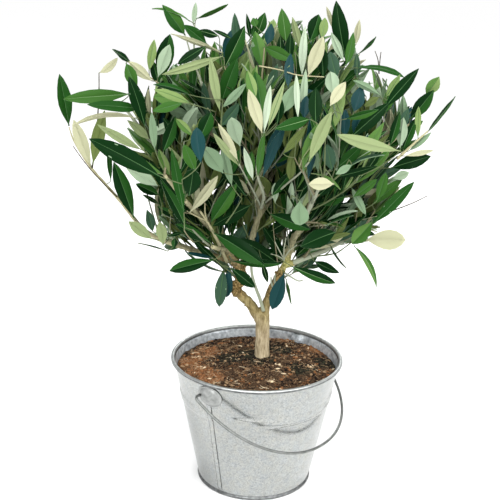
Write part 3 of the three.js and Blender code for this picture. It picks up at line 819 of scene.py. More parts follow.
def make_ear(name, ear_turn, node):
    """A stamped ear: a brim on the wall, a dome, and the eye in its flank"""
    rings, sides = 22, 64
    radius = wall_radius(EAR["height"])
    wide, tall = EAR["wide"] + EAR["brim"], EAR["tall"] + EAR["brim"]
    verts = []
    for outer, order in ((True, range(rings + 1)), (False, range(rings, -1, -1))):
        for ring in order:
            share = ring / rings
            dome = max(1 - (share * wide / EAR["wide"]) ** 2, 0) ** EAR["fullness"]
            out = max(EAR["flange"] + GAP, EAR["proud"] * dome)
            if not outer:
                out = max(GAP, out - EAR["flange"])
            edge = EAR["edge"] if outer and ring == rings else 0
            for angle in ring_angles(sides):
                across = share * wide * math.cos(angle)
                z = EAR["height"] + share * tall * math.sin(angle)
                verts.append(pot_place(wall_radius(z) + out - edge, ear_turn + across / radius, z))
    ear = make_piece(name, verts, list(ring_faces(2 * rings + 1, sides)), [EAR_ZINC])
    weld(ear)
    eye_turn = ear_turn - EAR["turn"]
    ends = [pot_place(radius + reach, eye_turn, PIVOT_HEIGHT) for reach in EYE_BORE]
    cutter = make_piece("eye_cutter", *tube(ends, [EYE_RADIUS, EYE_RADIUS], 24), [])
    weld(cutter)
    cut = ear.modifiers.new("eye", "BOOLEAN")
    cut.operation = "DIFFERENCE"
    cut.solver = "EXACT"
    cut.object = cutter
    apply_modifiers(ear)
    bpy.data.objects.remove(cutter)
    dress(ear, nodes=[node])


def make_bail():
    """One steel wire: a flattened half loop whose ends turn in along the pivot axis"""
    def place(along, down):
        x = down * math.cos(BAIL["hang"])
        z = PIVOT_HEIGHT - down * math.sin(BAIL["hang"])
        c, s = math.cos(-PIVOT_TURN), math.sin(-PIVOT_TURN)
        return np.array([x * c - along * s, x * s + along * c, z])

    corner = BAIL["corner"]
    start = BAIL["half"] - corner
    inner_end = wall_radius(PIVOT_HEIGHT) + GAP + WIRE_RADIUS / 2
    end = [(inner_end, 0), (start - BAIL["straight"], 0)]
    end += [(start + corner * math.sin(a), corner * (1 - math.cos(a)))
            for a in np.linspace(0, math.pi / 2, BAIL["corner_steps"])]
    power = BAIL["squareness"]
    loop = []
    for t in np.linspace(math.pi / 2, -math.pi / 2, BAIL["steps"])[2:-2]:
        along = math.copysign(BAIL["half"] * abs(math.sin(t)) ** power, math.sin(t))
        loop.append((along, max(BAIL["depth"] * abs(math.cos(t)) ** power, corner + 1)))
    path = end + loop + [(-a, d) for a, d in reversed(end)]
    wire = tube([place(a, d) for a, d in path], [WIRE_RADIUS] * len(path), BAIL["sides"])
    dress(make_piece("bail_wire_loop", *wire, [WIRE]), "bail", ["bail"])


# Soil

def soil_height(x, y):
    """The rough top of the peat"""
    edge = wall_radius(SOIL_EDGE) - SHEET - GAP
    stations = [0, SOIL_CREST[0], SOIL_SHOULDER[0], edge]
    heights = [SOIL_CREST[1], SOIL_CREST[1], SOIL_SHOULDER[1], SOIL_EDGE]
    level = float(np.interp(math.hypot(x, y), stations, heights))
    for scale, height, layer in SOIL_ROUGHNESS:
        level += height * noise.noise(Vector((x * scale, y * scale, layer)))
    return level


def pocket_room(angle, radius):
    """How far the peat keeps in from the wall where an ear's pocket comes through it"""
    bulge = pocket_bulge(angle + math.pi / 2 + PIVOT_TURN, SOIL_EDGE + 1)
    return (bulge + GAP if bulge > 0 else 0) * smooth_step(radius, *POCKET_SPAN)


def make_soil():
    sides, rings = 260, 110
    edge = wall_radius(SOIL_EDGE) - SHEET - GAP
    verts = [(0, 0, soil_height(0, 0))]
    for ring in range(1, rings + 1):
        radius = edge * ring / rings
        for angle in ring_angles(sides):
            reach = radius - pocket_room(angle, radius)
            x, y = reach * math.cos(angle), reach * math.sin(angle)
            verts.append((x, y, soil_height(x, y)))
    low = FLOOR + GAP
    reach = wall_radius(low) - SHEET - GAP
    for angle in ring_angles(sides):
        verts.append((reach * math.cos(angle), reach * math.sin(angle), low))
    verts.append((0, 0, low))
    faces = [(0, 1 + k, 1 + (k + 1) % sides) for k in range(sides)]
    faces += [(1 + a, 1 + d, 1 + c, 1 + b) for a, b, c, d in ring_faces(rings, sides)]
    last = 1 + rings * sides
    faces += [(last + k, len(verts) - 1, last + (k + 1) % sides) for k in range(sides)]
    soil = make_piece("peat_body", verts, faces, [PEAT])
    weld(soil)
    dress(soil, nodes=["soil"])


def lump(size, random):
    """A crumb: a six-sided ball with its corners pushed in and out"""
    verts = []
    for z, ring in LUMP_RINGS:
        for k in range(6):
            angle = math.pi * k / 3 + z
            reach = ring * random(*LUMP_PUSH)
            high = z * random(*LUMP_PUSH)
            verts.append((reach * math.cos(angle), reach * math.sin(angle), high))
    faces = [tuple(reversed(range(6))), tuple(range(12, 18)), *ring_faces(2, 6)]
    return np.array(verts) * size, faces


# The tones of crumbs and fibres within a reach of the marked spots, and then anywhere, each with
# the draw that it goes up to
TAN_SHARE = 0.07
PEAT_MIXES = [
    (PEAT_PALE_AT, 4, {"chip_pale": 0.6, "crumb_tan": 1}),
    (PEAT_DARK_AT, 12, {"crumb_moss": 0.35, "crumb_dark": 0.95, "crumb_brown": 1}),
    (PEAT_WARM_AT, 13, {"crumb_orange": 0.65, "crumb_tan": 0.75, "crumb_brown": 1}),
    ([(0, 0)], math.inf, {"crumb_dark": 0.5, "crumb_brown": 0.84, "crumb_orange": 1}),
]


def peat_tone(x, y, random):
    draw = random()
    if draw < TAN_SHARE:
        return "crumb_tan"
    for spots, reach, tones in PEAT_MIXES:
        if min(math.hypot(x - spot[0], y - spot[1]) for spot in spots) < reach:
            return next(tone for tone, below in tones.items() if draw < below)


def spot_on_soil(random):
    """A place on the soil, clear of the trunk and the wall"""
    while True:
        radius = SOIL_REACH * math.sqrt(random())
        angle = random(0, 2 * math.pi)
        x, y = radius * math.cos(angle), radius * math.sin(angle)
        if math.hypot(x - TRUNK_AT[0], y - TRUNK_AT[1]) > TRUNK_ROOM:
            return x, y


def make_crumbs():
    random = seeded(CRUMBS["seed"])
    crumbs = Bundle(PEAT_TONES)
    for _ in range(CRUMBS["count"]):
        x, y = spot_on_soil(random)
        size = CRUMBS["size"] + CRUMBS["spread"] * random() ** CRUMBS["skew"]
        verts, faces = lump(size, random)
        verts[:, 2] *= CRUMBS["flat"]
        tone = peat_tone(x, y, random)
        crumbs.add(verts + [x, y, soil_height(x, y) + CRUMBS["sunk"] * size], faces, tone)
    dress(crumbs.piece("peat_crumbs", smooth=False))


def fibre_points(x, y, random):
    """A bent run of points on the soil, cut short at the wall"""
    turn = random(0, 2 * math.pi)
    length = random(*FIBRES["length"])
    bend = random(*FIBRES["bend"])
    points = []
    for s in np.linspace(-0.5, 0.5, 5):
        angle = turn + bend * s
        px, py = x + length * s * math.cos(angle), y + length * s * math.sin(angle)
        if math.hypot(px, py) > FIBRES["reach"]:
            break
        level = soil_height(px, py) + FIBRES["lift"]
        points.append((px, py, level + FIBRES["spring"] * random()))
    return points


def make_fibres():
    """Peat fibres, bark shreds and a few pale chips that lie on the soil"""
    random = seeded(FIBRES["seed"])
    fibres = Bundle(PEAT_TONES)
    for i in range(FIBRES["count"]):
        x, y = spot_on_soil(random)
        points = fibre_points(x, y, random)
        if len(points) < 3:
            continue
        if i % FIBRES["tan_every"] == 0:
            tone = "chip_pale" if i % FIBRES["pale_every"] == 0 else "crumb_tan"
        else:
            tone = peat_tone(x, y, random)
        radius = random(*FIBRES["radius"])
        fibres.add(*tube(points, [radius] * len(points), 4), tone)
    for i in range(CHIPS["count"]):
        x, y = spot_on_soil(random)
        verts, faces = lump(random(*CHIPS["size"]), random)
        verts *= CHIPS["shape"]
        turn = random(0, math.pi)
        c, s = math.cos(turn), math.sin(turn)
        verts = verts @ np.array([[c, s, 0], [-s, c, 0], [0, 0, 1]])
        tone = "chip_pale" if i % CHIPS["pale_every"] == 0 else "crumb_tan"
        fibres.add(verts + [x, y, soil_height(x, y) + CHIPS["lift"]], faces, tone)
    dress(fibres.piece("peat_fibres"))


# Limbs

def make_limbs():
    """The trunk and the main boughs by name"""
    limbs = {"trunk": Limb(TRUNK["route"], TRUNK["radii"])}
    for name, (route, (start, end)) in MAIN_BOUGHS.items():
        points = smooth_route(route, 12)
        plain = Limb(points, np.ones(len(points)))
        limbs[name] = Limb(points, start + (end - start) * (plain.reach / plain.length))
    return limbs


LIMBS = make_limbs()


def line_of(row):
    """The line of a bough and the stem of its mass, from a main bough to the mass's tip"""
    start = LIMBS[row["from"]].at(row["at"])
    turn = math.radians(row["turn"])
    way = np.array([math.sin(turn), -math.cos(turn), 0])
    tip = np.array([CROWN_X, CROWN_Y, row["height"]]) + row["reach"] * way
    bend = start + (tip - start) * row["lean"]
    bend[2] = start[2] + (tip[2] - start[2]) * (1 - row["lean"])
    points = bezier(start, bend, tip, 60)
    return Limb(points, np.linspace(row["thick"], STEM_END_RADIUS, 61))


def settle_rows():
    """Gives each row its line, its space among the others and where the line enters that"""
    for row in CROWN:
        row["line"] = line_of(row)
        row["middle"] = row["line"].at(MASS_MIDDLE)
    samples = ENTRY["samples"]
    for row in CROWN:
        others = [other["middle"] for other in CROWN if other is not row]
        row["normals"] = np.array([unit(other - row["middle"]) for other in others])
        row["centres"] = np.array([(other + row["middle"]) / 2 for other in others])
        row["entry"] = ENTRY["least"]
        for i in range(int(samples * MASS_MIDDLE) + 1):
            if not in_space(row["line"].at(i / samples), row, ENTRY["margin"]):
                row["entry"] = (i + 1) / samples
        row["stem_end"] = 1 - STEM_SHORT * LEAF["length"] / row["line"].length


def in_space(points, row, margin):
    """True when points are nearer to a mass's middle than to any other mass's"""
    rel = np.atleast_2d(points)[:, None, :] - row["centres"][None, :, :]
    return bool(((rel * row["normals"]).sum(axis=2) < -margin).all())


def in_shell(point, margin=0):
    up = point[2] - SHELL["middle"]
    tall = SHELL["above"] if up > 0 else SHELL["below"]
    x = (point[0] - CROWN_X) / (SHELL["half"] - margin)
    y = (point[1] - CROWN_Y) / (SHELL["deep"] - margin)
    return x * x + y * y + (up / (tall - margin)) ** 2 < 1 and point[2] > SKIRT


settle_rows()


def add_spurs(wood, limb, random):
    """Old leaf scars and spurs along a main bough"""
    for k in range(SPURS["count"]):
        t = SPURS["from"] + SPURS["step"] * k + random(*SPURS["stray"])
        way = rotated(np.cross(limb.way(t), [0, 0.3, 1]), limb.way(t), random(*ANY_TURN))
        root = limb.at(t)
        length = limb.radius(t) + random(*SPURS["length"])
        radii = [SPURS["foot"], random(*SPURS["tip"])]
        wood.add(*tube([root, root + unit(way) * length], radii, 8))


def make_bark():
    """Trunk, main boughs and boughs fused into one skin, with grain, swellings and leaf scars"""
    wood = Bundle({"bark": BARK})
    trunk = LIMBS["trunk"]
    stations = np.linspace(0, 1, 24)
    wood.add(*tube([trunk.at(t) for t in stations], [trunk.radius(t) for t in stations], 28))
    for name in MAIN_BOUGHS:
        limb = LIMBS[name].part(0, 1, 40)
        waves = 1 + WAVINESS["high"] * np.sin(np.arange(len(limb.radii)) * WAVINESS["step"])
        wood.add(*tube(limb.points, limb.radii * waves, 20))
    wood.add(*tube(*STUB, 16))
    for place, size in KNOB:
        run = [np.add(place, [0, 0, -size]), place, np.add(place, [0, 0, size])]
        wood.add(*tube(run, [size * 0.45, size, size * 0.45], 12))
    for row in CROWN:
        bough = row["line"].part(0, row["entry"] + 0.01, 24)
        collar = 1 + COLLAR["swell"] * np.exp(-bough.reach / COLLAR["reach"])
        wood.add(*tube(bough.points, bough.radii * collar, 14))
    random = seeded(BARK_SEED)
    for name in MAIN_BOUGHS:
        add_spurs(wood, LIMBS[name], random)
    bark = wood.piece("bark_skin")
    fuse = bark.modifiers.new("fuse", "REMESH")
    fuse.mode = "VOXEL"
    fuse.voxel_size = VOXEL * MM
    apply_modifiers(bark)
    add_relief(bark)
    nodes = ["trunk", *MAIN_BOUGHS] + ["bough_" + row["name"] for row in CROWN]
    dress(bark, nodes=nodes)


def make_shoots():
    shoots = Bundle(TWIG_TONES)
    for pixels, depth, radii in SHOOTS:
        points = smooth_route([place_of(pixel, depth) for pixel in pixels], 8)
        shoots.add(*tube(points, np.linspace(*radii, len(points)), 10), "grey")
    dress(shoots.piece("pale_shoots"))


def bark_rise(place):
    """How far the bark stands out at a place: grain, fine grain, and lumps that grow at the knob"""
    x, y, z = place

    def rough(across, along):
        return noise.noise(Vector((x * across, y * across, z * along)))

    rise = sum(high * rough(across, along) for across, along, high in BARK_GRAIN)
    low_end, high_end = KNOTTY_SPAN
    knotty = smooth_step(z, *low_end) * (1 - smooth_step(z, *high_end))
    size = BARK_LUMPS["high"] + BARK_LUMPS["knotty"] * knotty
    return rise + size * rough(BARK_LUMPS["across"], BARK_LUMPS["along"]) + BARK_LIFT


def add_relief(bark):
    """Rounds the fused wood and raises its bark"""
    mesh = bmesh.new()
    mesh.from_mesh(bark.data)
    for _ in range(3):
        bmesh.ops.smooth_vert(mesh, verts=mesh.verts, factor=0.5,
                              use_axis_x=True, use_axis_y=True, use_axis_z=True)
    mesh.normal_update()
    moves = [vert.normal * MM * bark_rise(vert.co / MM) for vert in mesh.verts]
    for vert, move in zip(mesh.verts, moves):
        vert.co += move
    mesh.to_mesh(bark.data)
    mesh.free()
    bark.data.polygons.foreach_set("use_smooth", np.full(len(bark.data.polygons), True))


# Leaves

STATIONS = np.array([0, 0.05, 0.14, 0.28, 0.44, 0.6, 0.76, 0.9, 1.0])
# Points across a blade, and round it
ROW = 7
RING = 2 * ROW
# The kinds of a leaf's faces: the halves of its upper side, its rib and its under side
HALF, RIB, UNDER, OTHER_HALF = range(4)
# Where the edge's wave starts in blades with one half painted lighter, as painted light
LIGHT_PHASE = 2.3


def blade_outline(s, blunt):
    """A blade on a short stalk, as a share of its half width; blunt blades are full at the tip"""
    u = np.clip((s - 0.05) / 0.95, 0, 1)
    blade = np.sin(math.pi * u ** (0.85 + 0.35 * blunt)) ** (0.9 - 0.25 * blunt)
    return np.maximum(blade, 0.07 * (s < 0.5) + 0.03)


def leaf_faces():
    """Faces of one leaf with the kind of each"""
    faces, kinds = [], []
    last = len(STATIONS) - 1
    for i in range(last):
        a, b = i * RING, (i + 1) * RING
        for k in range(ROW - 1):
            faces.append((a + k, a + k + 1, b + k + 1, b + k))
            kinds.append((HALF, HALF, RIB, RIB, OTHER_HALF, OTHER_HALF)[k])
            faces.append((a + ROW + k + 1, a + ROW + k, b + ROW + k, b + ROW + k + 1))
            kinds.append(UNDER)
        faces.append((a + ROW, a, b, b + ROW))
        faces.append((a + ROW - 1, a + RING - 1, b + RING - 1, b + ROW - 1))
        kinds += [UNDER, UNDER]
    end = last * RING
    for k in range(ROW - 1):
        faces.append((k + 1, k, ROW + k, ROW + k + 1))
        faces.append((end + k, end + k + 1, end + ROW + k + 1, end + ROW + k))
        kinds += [RIB, UNDER]
    return np.array(faces), np.array(kinds)


LEAF_FACES, LEAF_KINDS = leaf_faces()
RIM = np.zeros(RING, dtype=bool)
RIM[[0, ROW - 1, ROW, RING - 1]] = True
LEAF_RIM = np.tile(RIM, len(STATIONS))


def normalised(rows):
    return rows / np.linalg.norm(rows, axis=1)[:, None]


def leaf_frame(leaf):
    """The middle of a leaf at each station, with the ways across it and out of its upper side: it
    arches, sways and twists along its length"""
    along, normal = leaf["along"], leaf["normal"]
    side = np.cross(along, normal)
    middle = (STATIONS[1:] + STATIONS[:-1]) / 2
    droop = leaf["bend"] * middle
    sway = leaf["sway"] * (middle - 0.3)
    steps = (np.cos(droop) * np.cos(sway))[:, None] * along - np.sin(droop)[:, None] * normal
    steps = steps + (np.cos(droop) * np.sin(sway))[:, None] * side
    run = np.cumsum(steps * np.diff(STATIONS)[:, None] * leaf["length"], axis=0)
    centre = np.vstack([np.zeros(3), run]) + leaf["root"]
    ways = normalised(np.vstack([steps[:1], (steps[1:] + steps[:-1]) / 2, steps[-1:]]))
    sides = normalised(side - (ways @ side)[:, None] * ways)
    ups = np.cross(sides, ways)
    turn = (leaf["twist"] * (STATIONS - 0.3))[:, None]
    c, s = np.cos(turn), np.sin(turn)
    return centre, sides * c + ups * s, ups * c - sides * s


def leaf_points(leaf):
    """The points of one leaf, with a fold, rolled and wavy edges and a sunk rib"""
    centre, sides, ups = leaf_frame(leaf)
    width = leaf["width"] / 2 * blade_outline(STATIONS, leaf["blunt"])
    rib = np.minimum(0.32 - 0.24 * STATIONS, 0.4 * width)
    zero = np.zeros_like(width)
    across = np.stack([-width, -0.55 * width, -rib, zero, rib, 0.55 * width, width], axis=1)
    share = np.abs(across) / width[:, None]
    lift = leaf["fold"] * np.abs(across) - leaf["roll"] * width[:, None] * share ** 3
    wave = leaf["wave"] * width * np.sin(9 * STATIONS + leaf["phase"])
    lift = lift + wave[:, None] * np.sign(across) * share ** 2
    upper = lift.copy()
    upper[:, 3] -= LEAF["rib_sunk"]
    lower = lift - LEAF["thick"] * (1 - 0.55 * share)
    lower[:, 3] -= LEAF["rib_proud"]
    spread = np.concatenate([across, across], axis=1)[:, :, None]
    rise = np.concatenate([upper, lower], axis=1)[:, :, None]
    points = centre[:, None, :] + spread * sides[:, None, :] + rise * ups[:, None, :]
    return points.reshape(-1, 3)


def leaf_slots(leaf):
    """The tone of each face of a leaf; one half of some blades is painted in a lighter tone, as
    painted light
    """
    upper = leaf["upper"]
    other = LIGHTER.get(upper, upper) if leaf["phase"] < LIGHT_PHASE else upper
    rib = "rib_blue" if upper == "blue" else leaf["rib"]
    return np.array([TONE_INDEX[tone] for tone in (upper, rib, leaf["under"], other)])[LEAF_KINDS]


def leaves_piece(name, leaves):
    """All the leaves of a mass as one mesh, each in its own plain tones"""
    points = np.concatenate([leaf_points(leaf) for leaf in leaves])
    per_leaf = len(STATIONS) * RING
    faces = np.concatenate([LEAF_FACES + i * per_leaf for i in range(len(leaves))])
    slots = np.concatenate([leaf_slots(leaf) for leaf in leaves])
    sharp = np.tile(LEAF_RIM, len(leaves))
    return make_piece(name, points, faces, list(LEAF_TONES.values()), slots, sharp=sharp)


# Growth

def splay(axis, angle, turn):
    """A direction at an angle from an axis, turned about it"""
    side = np.cross([0, 0, 1], axis)
    if np.linalg.norm(side) < 0.05:
        side = np.array([1.0, 0, 0])
    side = rotated(unit(side), axis, turn)
    return rotated(axis, side, angle)


def square_to(v, axis):
    """The part of v that is square to a unit axis, as a unit vector"""
    return unit(v - axis * np.dot(v, axis))


class Obstacles:
    """Limbs that twigs and leaves keep clear of, as segments with radii"""

    def __init__(self, limbs):
        self.a = np.concatenate([limb.points[:-1] for limb in limbs])
        self.b = np.concatenate([limb.points[1:] for limb in limbs])
        radii = [np.maximum(limb.radii[:-1], limb.radii[1:]) for limb in limbs]
        self.r = np.concatenate(radii)

    def clear(self, start, end, radius):
        probes = start + (end - start) * np.linspace(0, 1, 9)[:, None]
        run = self.b - self.a
        rel = probes[:, None, :] - self.a[None]
        t = np.clip((rel * run).sum(axis=2) / (run * run).sum(axis=1), 0, 1)
        far = np.linalg.norm(rel - t[..., None] * run, axis=2)
        return bool((far > self.r + radius + GAP).all())


def bough_parts():
    limbs = [LIMBS["trunk"]] + [LIMBS[name].part(0, 1, 10) for name in MAIN_BOUGHS]
    return limbs + [row["line"].part(0, row["entry"], 4) for row in CROWN]


OBSTACLES = Obstacles(bough_parts())

# The body of the crown as the photograph shows it, on the plane through the trunk: height, furthest
# left and furthest right
BODY_SIDES = [
    (195, -41, 40), (203, -68, 70), (215, -82, 92), (230, -98, 110), (250, -108, 113),
    (268, -114, 121), (286, -120, 124), (304, -122, 136), (322, -120, 143), (340, -112, 140),
    (358, -102, 124), (372, -92, 104), (385, -74, 95), (399, -52, 88), (409, -34, 72),
    (416, -6, 54), (421, 10, 40),
]
# The same for its underside: across, lowest height
BODY_UNDERSIDE = [
    (-167, 300), (-146, 268), (-119, 234), (-101, 222), (-82, 207), (-41, 198), (3, 195), (38, 192),
    (66, 195), (85, 211), (106, 223), (132, 235), (148, 272), (158, 308),
]
BOX = {"left": -182, "right": 164, "front": -131, "back": 164, "top": 440}
# Shoots and leaves lead away from here
HEART = np.array([-5, 12, 205])
# Inside this distance from the outline, leaves point out of the crown
EDGE_BAND = 12
SHELL_BAND = 14
# The room that the bail swings through: its reach from the pivots' axis, its half along it, its top
BAIL_ROOM = {"radius": 100, "half": 92, "top": 192}
# How far leaves and twigs may reach past their own mass's space
PAST_SPACE = {"leaf": 6, "twig": 2}
# The least share of their length that leaves at the outline and at the shell lead out of the crown
LEAD_OUT = {"outline": 0.4, "shell": 0.5}


def edge_room(point):
    """How far inside the body's outline a point is seen"""
    spot = place_of(pixel_of(point)[0][:2], CROWN_Y)
    heights, left, right = zip(*BODY_SIDES)
    across, lowest = zip(*BODY_UNDERSIDE)
    left_room = spot[0] - np.interp(spot[2], heights, left)
    right_room = np.interp(spot[2], heights, right) - spot[0]
    low_room = spot[2] - np.interp(spot[0], across, lowest)
    return min(left_room, right_room, heights[-1] - spot[2], low_room)


# Where the photograph shows sky between leaves: the left, top, right and bottom pixels of each gap
SKY = np.array([
    (363, 75, 372, 82), (381, 70, 389, 76), (361, 86, 371, 98), (381, 113, 388, 126),
    (408, 92, 422, 104), (338, 56, 347, 66), (364, 58, 376, 66), (270, 226, 276, 238),
    (286, 217, 294, 224), (308, 226, 315, 231), (298, 181, 301, 195), (341, 196, 350, 205),
    (241, 220, 246, 226), (316, 250, 352, 264), (338, 241, 354, 251), (352, 256, 362, 272),
    (127, 176, 142, 190), (136, 188, 154, 209), (178, 240, 190, 250), (116, 68, 126, 80),
    (380, 214, 402, 233),
])


def in_sky(points):
    seen = pixel_of(points)[:, None, :2]
    return bool(((seen > SKY[:, :2]) & (seen < SKY[:, 2:])).all(axis=2).any())


def in_box(point):
    x, y, z = point
    inside = BOX["left"] < x < BOX["right"] and BOX["front"] < y < BOX["back"]
    return inside and z < BOX["top"]


def outward(point):
    """Away from the crown's heart, less so to front and back, where shoots stand more upright"""
    return unit((point - HEART) * [1, 0.65, 1])


def tip_fits(root, tip, row, margin):
    """Leaves end in their own mass's space and inside the crown by a margin; those at its edge
    point out of it"""
    inside = in_space(tip, row, -PAST_SPACE["leaf"]) and in_shell(tip) and in_box(tip)
    if not inside or in_bail_sweep(tip):
        return False
    room = edge_room(tip)
    length = np.linalg.norm(tip - root)
    if room < margin:
        return False
    if room < EDGE_BAND and edge_room(root) - room < LEAD_OUT["outline"] * length:
        return False
    out = np.dot(tip - root, outward(root))
    return in_shell(tip, SHELL_BAND) or out > LEAD_OUT["shell"] * length


def in_bail_sweep(point):
    """True in the room that the bail swings through, on its side of the pot"""
    axis = np.array([-math.sin(PIVOT_TURN), -math.cos(PIVOT_TURN), 0])
    rel = point - np.array([0, 0, PIVOT_HEIGHT])
    along = np.dot(rel, axis)
    near = np.linalg.norm(rel - axis * along) < BAIL_ROOM["radius"]
    return near and abs(along) < BAIL_ROOM["half"] and point[2] < BAIL_ROOM["top"]


class Crown:
    """What has grown so far: leaves and twigs by mass, and the points that later leaves keep away
    from, in the crown and, for those in front of what the photograph shows, in its frame"""

    SPOTS = np.array([0.25, 0.42, 0.59, 0.76, 0.93])
    # How close the spots of two leaves may come; how close, in pixels, to what is shown behind, and
    # how far behind that is at least; and the share of a blade's width to the spots at its sides
    ROOM, SEEN_ROOM, SEEN_DEPTH, SIDE_SHARE = 2.8, 8.5, 2, 0.32

    def __init__(self):
        self.leaves, self.twigs = {}, {}
        self.spots = np.zeros((0, 3))
        self.shown = np.zeros((0, 3))

    def add_twig(self, mass, limb, tone, used=0.0, bare=False):
        """A twig with its tone and the share of its length up to the last thing that grows on it"""
        twig = {"limb": limb, "tone": tone, "used": used, "bare": bare}
        self.twigs.setdefault(mass, []).append(twig)
        return twig

    def spots_of(self, leaf, shares=SPOTS):
        shares = shares[:, None]
        droop = leaf["bend"] * shares / 2
        reach = leaf["length"] * shares
        ways = np.cos(droop) * leaf["along"] - np.sin(droop) * leaf["normal"]
        return leaf["root"] + reach * ways

    def roomy(self, spots):
        """True when a leaf's spots are clear of other leaves and hide nothing that is shown"""
        apart = np.linalg.norm(self.spots[None] - spots[:, None], axis=2)
        if apart.min() < self.ROOM:
            return False
        seen = pixel_of(spots)
        apart = np.linalg.norm(self.shown[None, :, :2] - seen[:, None, :2], axis=2)
        nearer = seen[:, 2][:, None] < self.shown[None, :, 2] - self.SEEN_DEPTH
        return not bool(((apart < self.SEEN_ROOM) & nearer).any())

    def add_leaf(self, mass, leaf, shown=False):
        self.leaves.setdefault(mass, []).append(leaf)
        spots = self.spots_of(leaf)
        self.spots = np.vstack([self.spots, spots])
        if shown:
            side = np.cross(leaf["along"], leaf["normal"]) * leaf["width"] * self.SIDE_SHARE
            self.spots = np.vstack([self.spots, spots[1:4] - side, spots[1:4] + side])
            self.show(self.spots_of(leaf, np.linspace(0.1, 1, 10)))

    def show(self, points):
        self.shown = np.vstack([self.shown, pixel_of(points)])


def blank_leaf(root, along, normal, length, width, random):
    shape = {name: random(*span) for name, span in LEAF_SHAPE.items()}
    place = {"root": root, "along": along, "normal": normal}
    return {**place, "length": length, "width": width, **shape}


# Leaves that end deeper in the crown than this are older and darker, and are given darker tones as
# painted shade
INNER_DEPTH = 48
# Shares of the tones at the foot of the crown and at its top, which lie at these heights; a place
# further to the side than the middle band counts as higher
# Darker tones low down are painted shade; paler tones high up and at the sides are painted light
TONE_SPAN = (235, 340)
SIDE_LIFT = {"from": 55, "rise": 0.9}
UPPER_SHARES = {
    "dark": (0.5, 0.15), "deep": (0.22, 0.17), "mid": (0.12, 0.19), "bright": (0.03, 0.16),
    "fresh": (0.02, 0.16), "slate": (0.04, 0.08), "blue": (0.07, 0.09),
}
UNDER_SHARES = {
    "sage": (0.3, 0.42), "grey": (0.27, 0.18), "cream": (0.13, 0.26), "straw": (0.08, 0.1),
    "olive": (0.22, 0.04),
}
# The tone of a blade's half that is painted lighter, as painted light
LIGHTER = {"dark": "deep", "deep": "mid", "mid": "bright", "bright": "fresh"}
PALE_RIBS = 0.2
# Shares of leaves with their spray's own tone, and of those deep in the crown that are painted dark
# as shade
OWN_TONE = {"upper": 0.5, "under": 0.45}
INNER_DARK = {"upper": 0.7, "under": 0.6}


def pick(shares, place, draw):
    """A tone by its share at a place: paler leaves are commoner high up and towards the sides, as
    painted light, and darker ones low down, as painted shade
    """
    aside = max(abs(place[0] - CROWN_X) - SIDE_LIFT["from"], 0)
    high = smooth_step(place[2] + SIDE_LIFT["rise"] * aside, *TONE_SPAN)
    for name, (at_foot, at_top) in shares.items():
        draw -= at_foot + (at_top - at_foot) * high
        if draw < 0:
            break
    return name


def spray_tones(place, random):
    return pick(UPPER_SHARES, place, random()), pick(UNDER_SHARES, place, random())


def rib_tone(random):
    return "rib_pale" if random() < PALE_RIBS else "rib_dim"


def tint(leaf, spray, random):
    """Mostly the spray's own tones; leaves deep in the crown are darker, as painted shade"""
    upper, under = spray
    tip = leaf["root"] + leaf["along"] * leaf["length"]
    own = OWN_TONE
    leaf["upper"] = upper if random() < own["upper"] else pick(UPPER_SHARES, tip, random())
    leaf["under"] = under if random() < own["under"] else pick(UNDER_SHARES, tip, random())
    if in_shell(tip, INNER_DEPTH):
        leaf["upper"] = "dark" if random() < INNER_DARK["upper"] else leaf["upper"]
        leaf["under"] = "olive" if random() < INNER_DARK["under"] else leaf["under"]
    leaf["rib"] = rib_tone(random)
    return leaf


# Blades turn up to the light, away from this point and this way; the share that do, and their stray
LIGHT_FROM = np.array([CROWN_X, CROWN_Y, 250])
LIGHT_WAY = np.array([0, -0.15, 0.75])
SUNLIT = 0.68
BLADE_TURN = (-0.75, 0.75)


def blade_normal(along, shoot, root, random):
    """Most blades turn their upper side out of the crown and up to the light; the rest face the
    shoot's tip"""
    lit = unit(root - LIGHT_FROM) + LIGHT_WAY
    facing = lit if random() < SUNLIT else shoot
    normal = square_to(facing + 0.02, along)
    return rotated(normal, along, random(*BLADE_TURN))


# Heights between which shoots come to lift their leaves and twigs
LIFT_SPAN = (190, 300)
# How far inside the crown's outline leaves end, from the boldest to the shyest
EDGE_MARGIN = (-8, 26)
SHYNESS = 1.6
# Leaves that would be seen more end-on than this from the front are turned further
END_ON = 0.78


def lifted(root, lift):
    return np.array([0, 0, lift * smooth_step(root[2], *LIFT_SPAN)])


def is_free(root, along, tip):
    """True when a leaf is clear of the limbs, but for the start of its stalk"""
    return OBSTACLES.clear(root + along * LEAF["clear_from"], tip, LEAF["clear"])


def grow_leaf(crown, mass, row, root, shoot, angle, turn, length, spray, random):
    margin = EDGE_MARGIN[0] + (EDGE_MARGIN[1] - EDGE_MARGIN[0]) * random() ** SHYNESS
    retry = LEAF_RETRY
    for attempt in range(LEAF["tries"]):
        opening = angle * (1 - retry["close"] * attempt)
        along = splay(shoot, opening, turn + retry["turn"] * attempt)
        along = unit(along + LEAF["outward"] * outward(root) + lifted(root, LEAF["lift"]))
        if abs(along @ CAMERA_FORWARD) > END_ON:
            continue
        size = length * (1 - retry["shrink"] * attempt)
        normal = blade_normal(along, shoot, root, random)
        width = size * LEAF["slender"] * random(*LEAF["slimness"])
        leaf = blank_leaf(root, along, normal, size, width, random)
        spots = crown.spots_of(leaf)
        tip = spots[-1]
        fits = tip_fits(root, tip, row, margin) and not in_sky(spots)
        if fits and crown.roomy(spots) and is_free(root, along, tip):
            crown.add_leaf(mass, tint(leaf, spray, random))
            return True
    return False


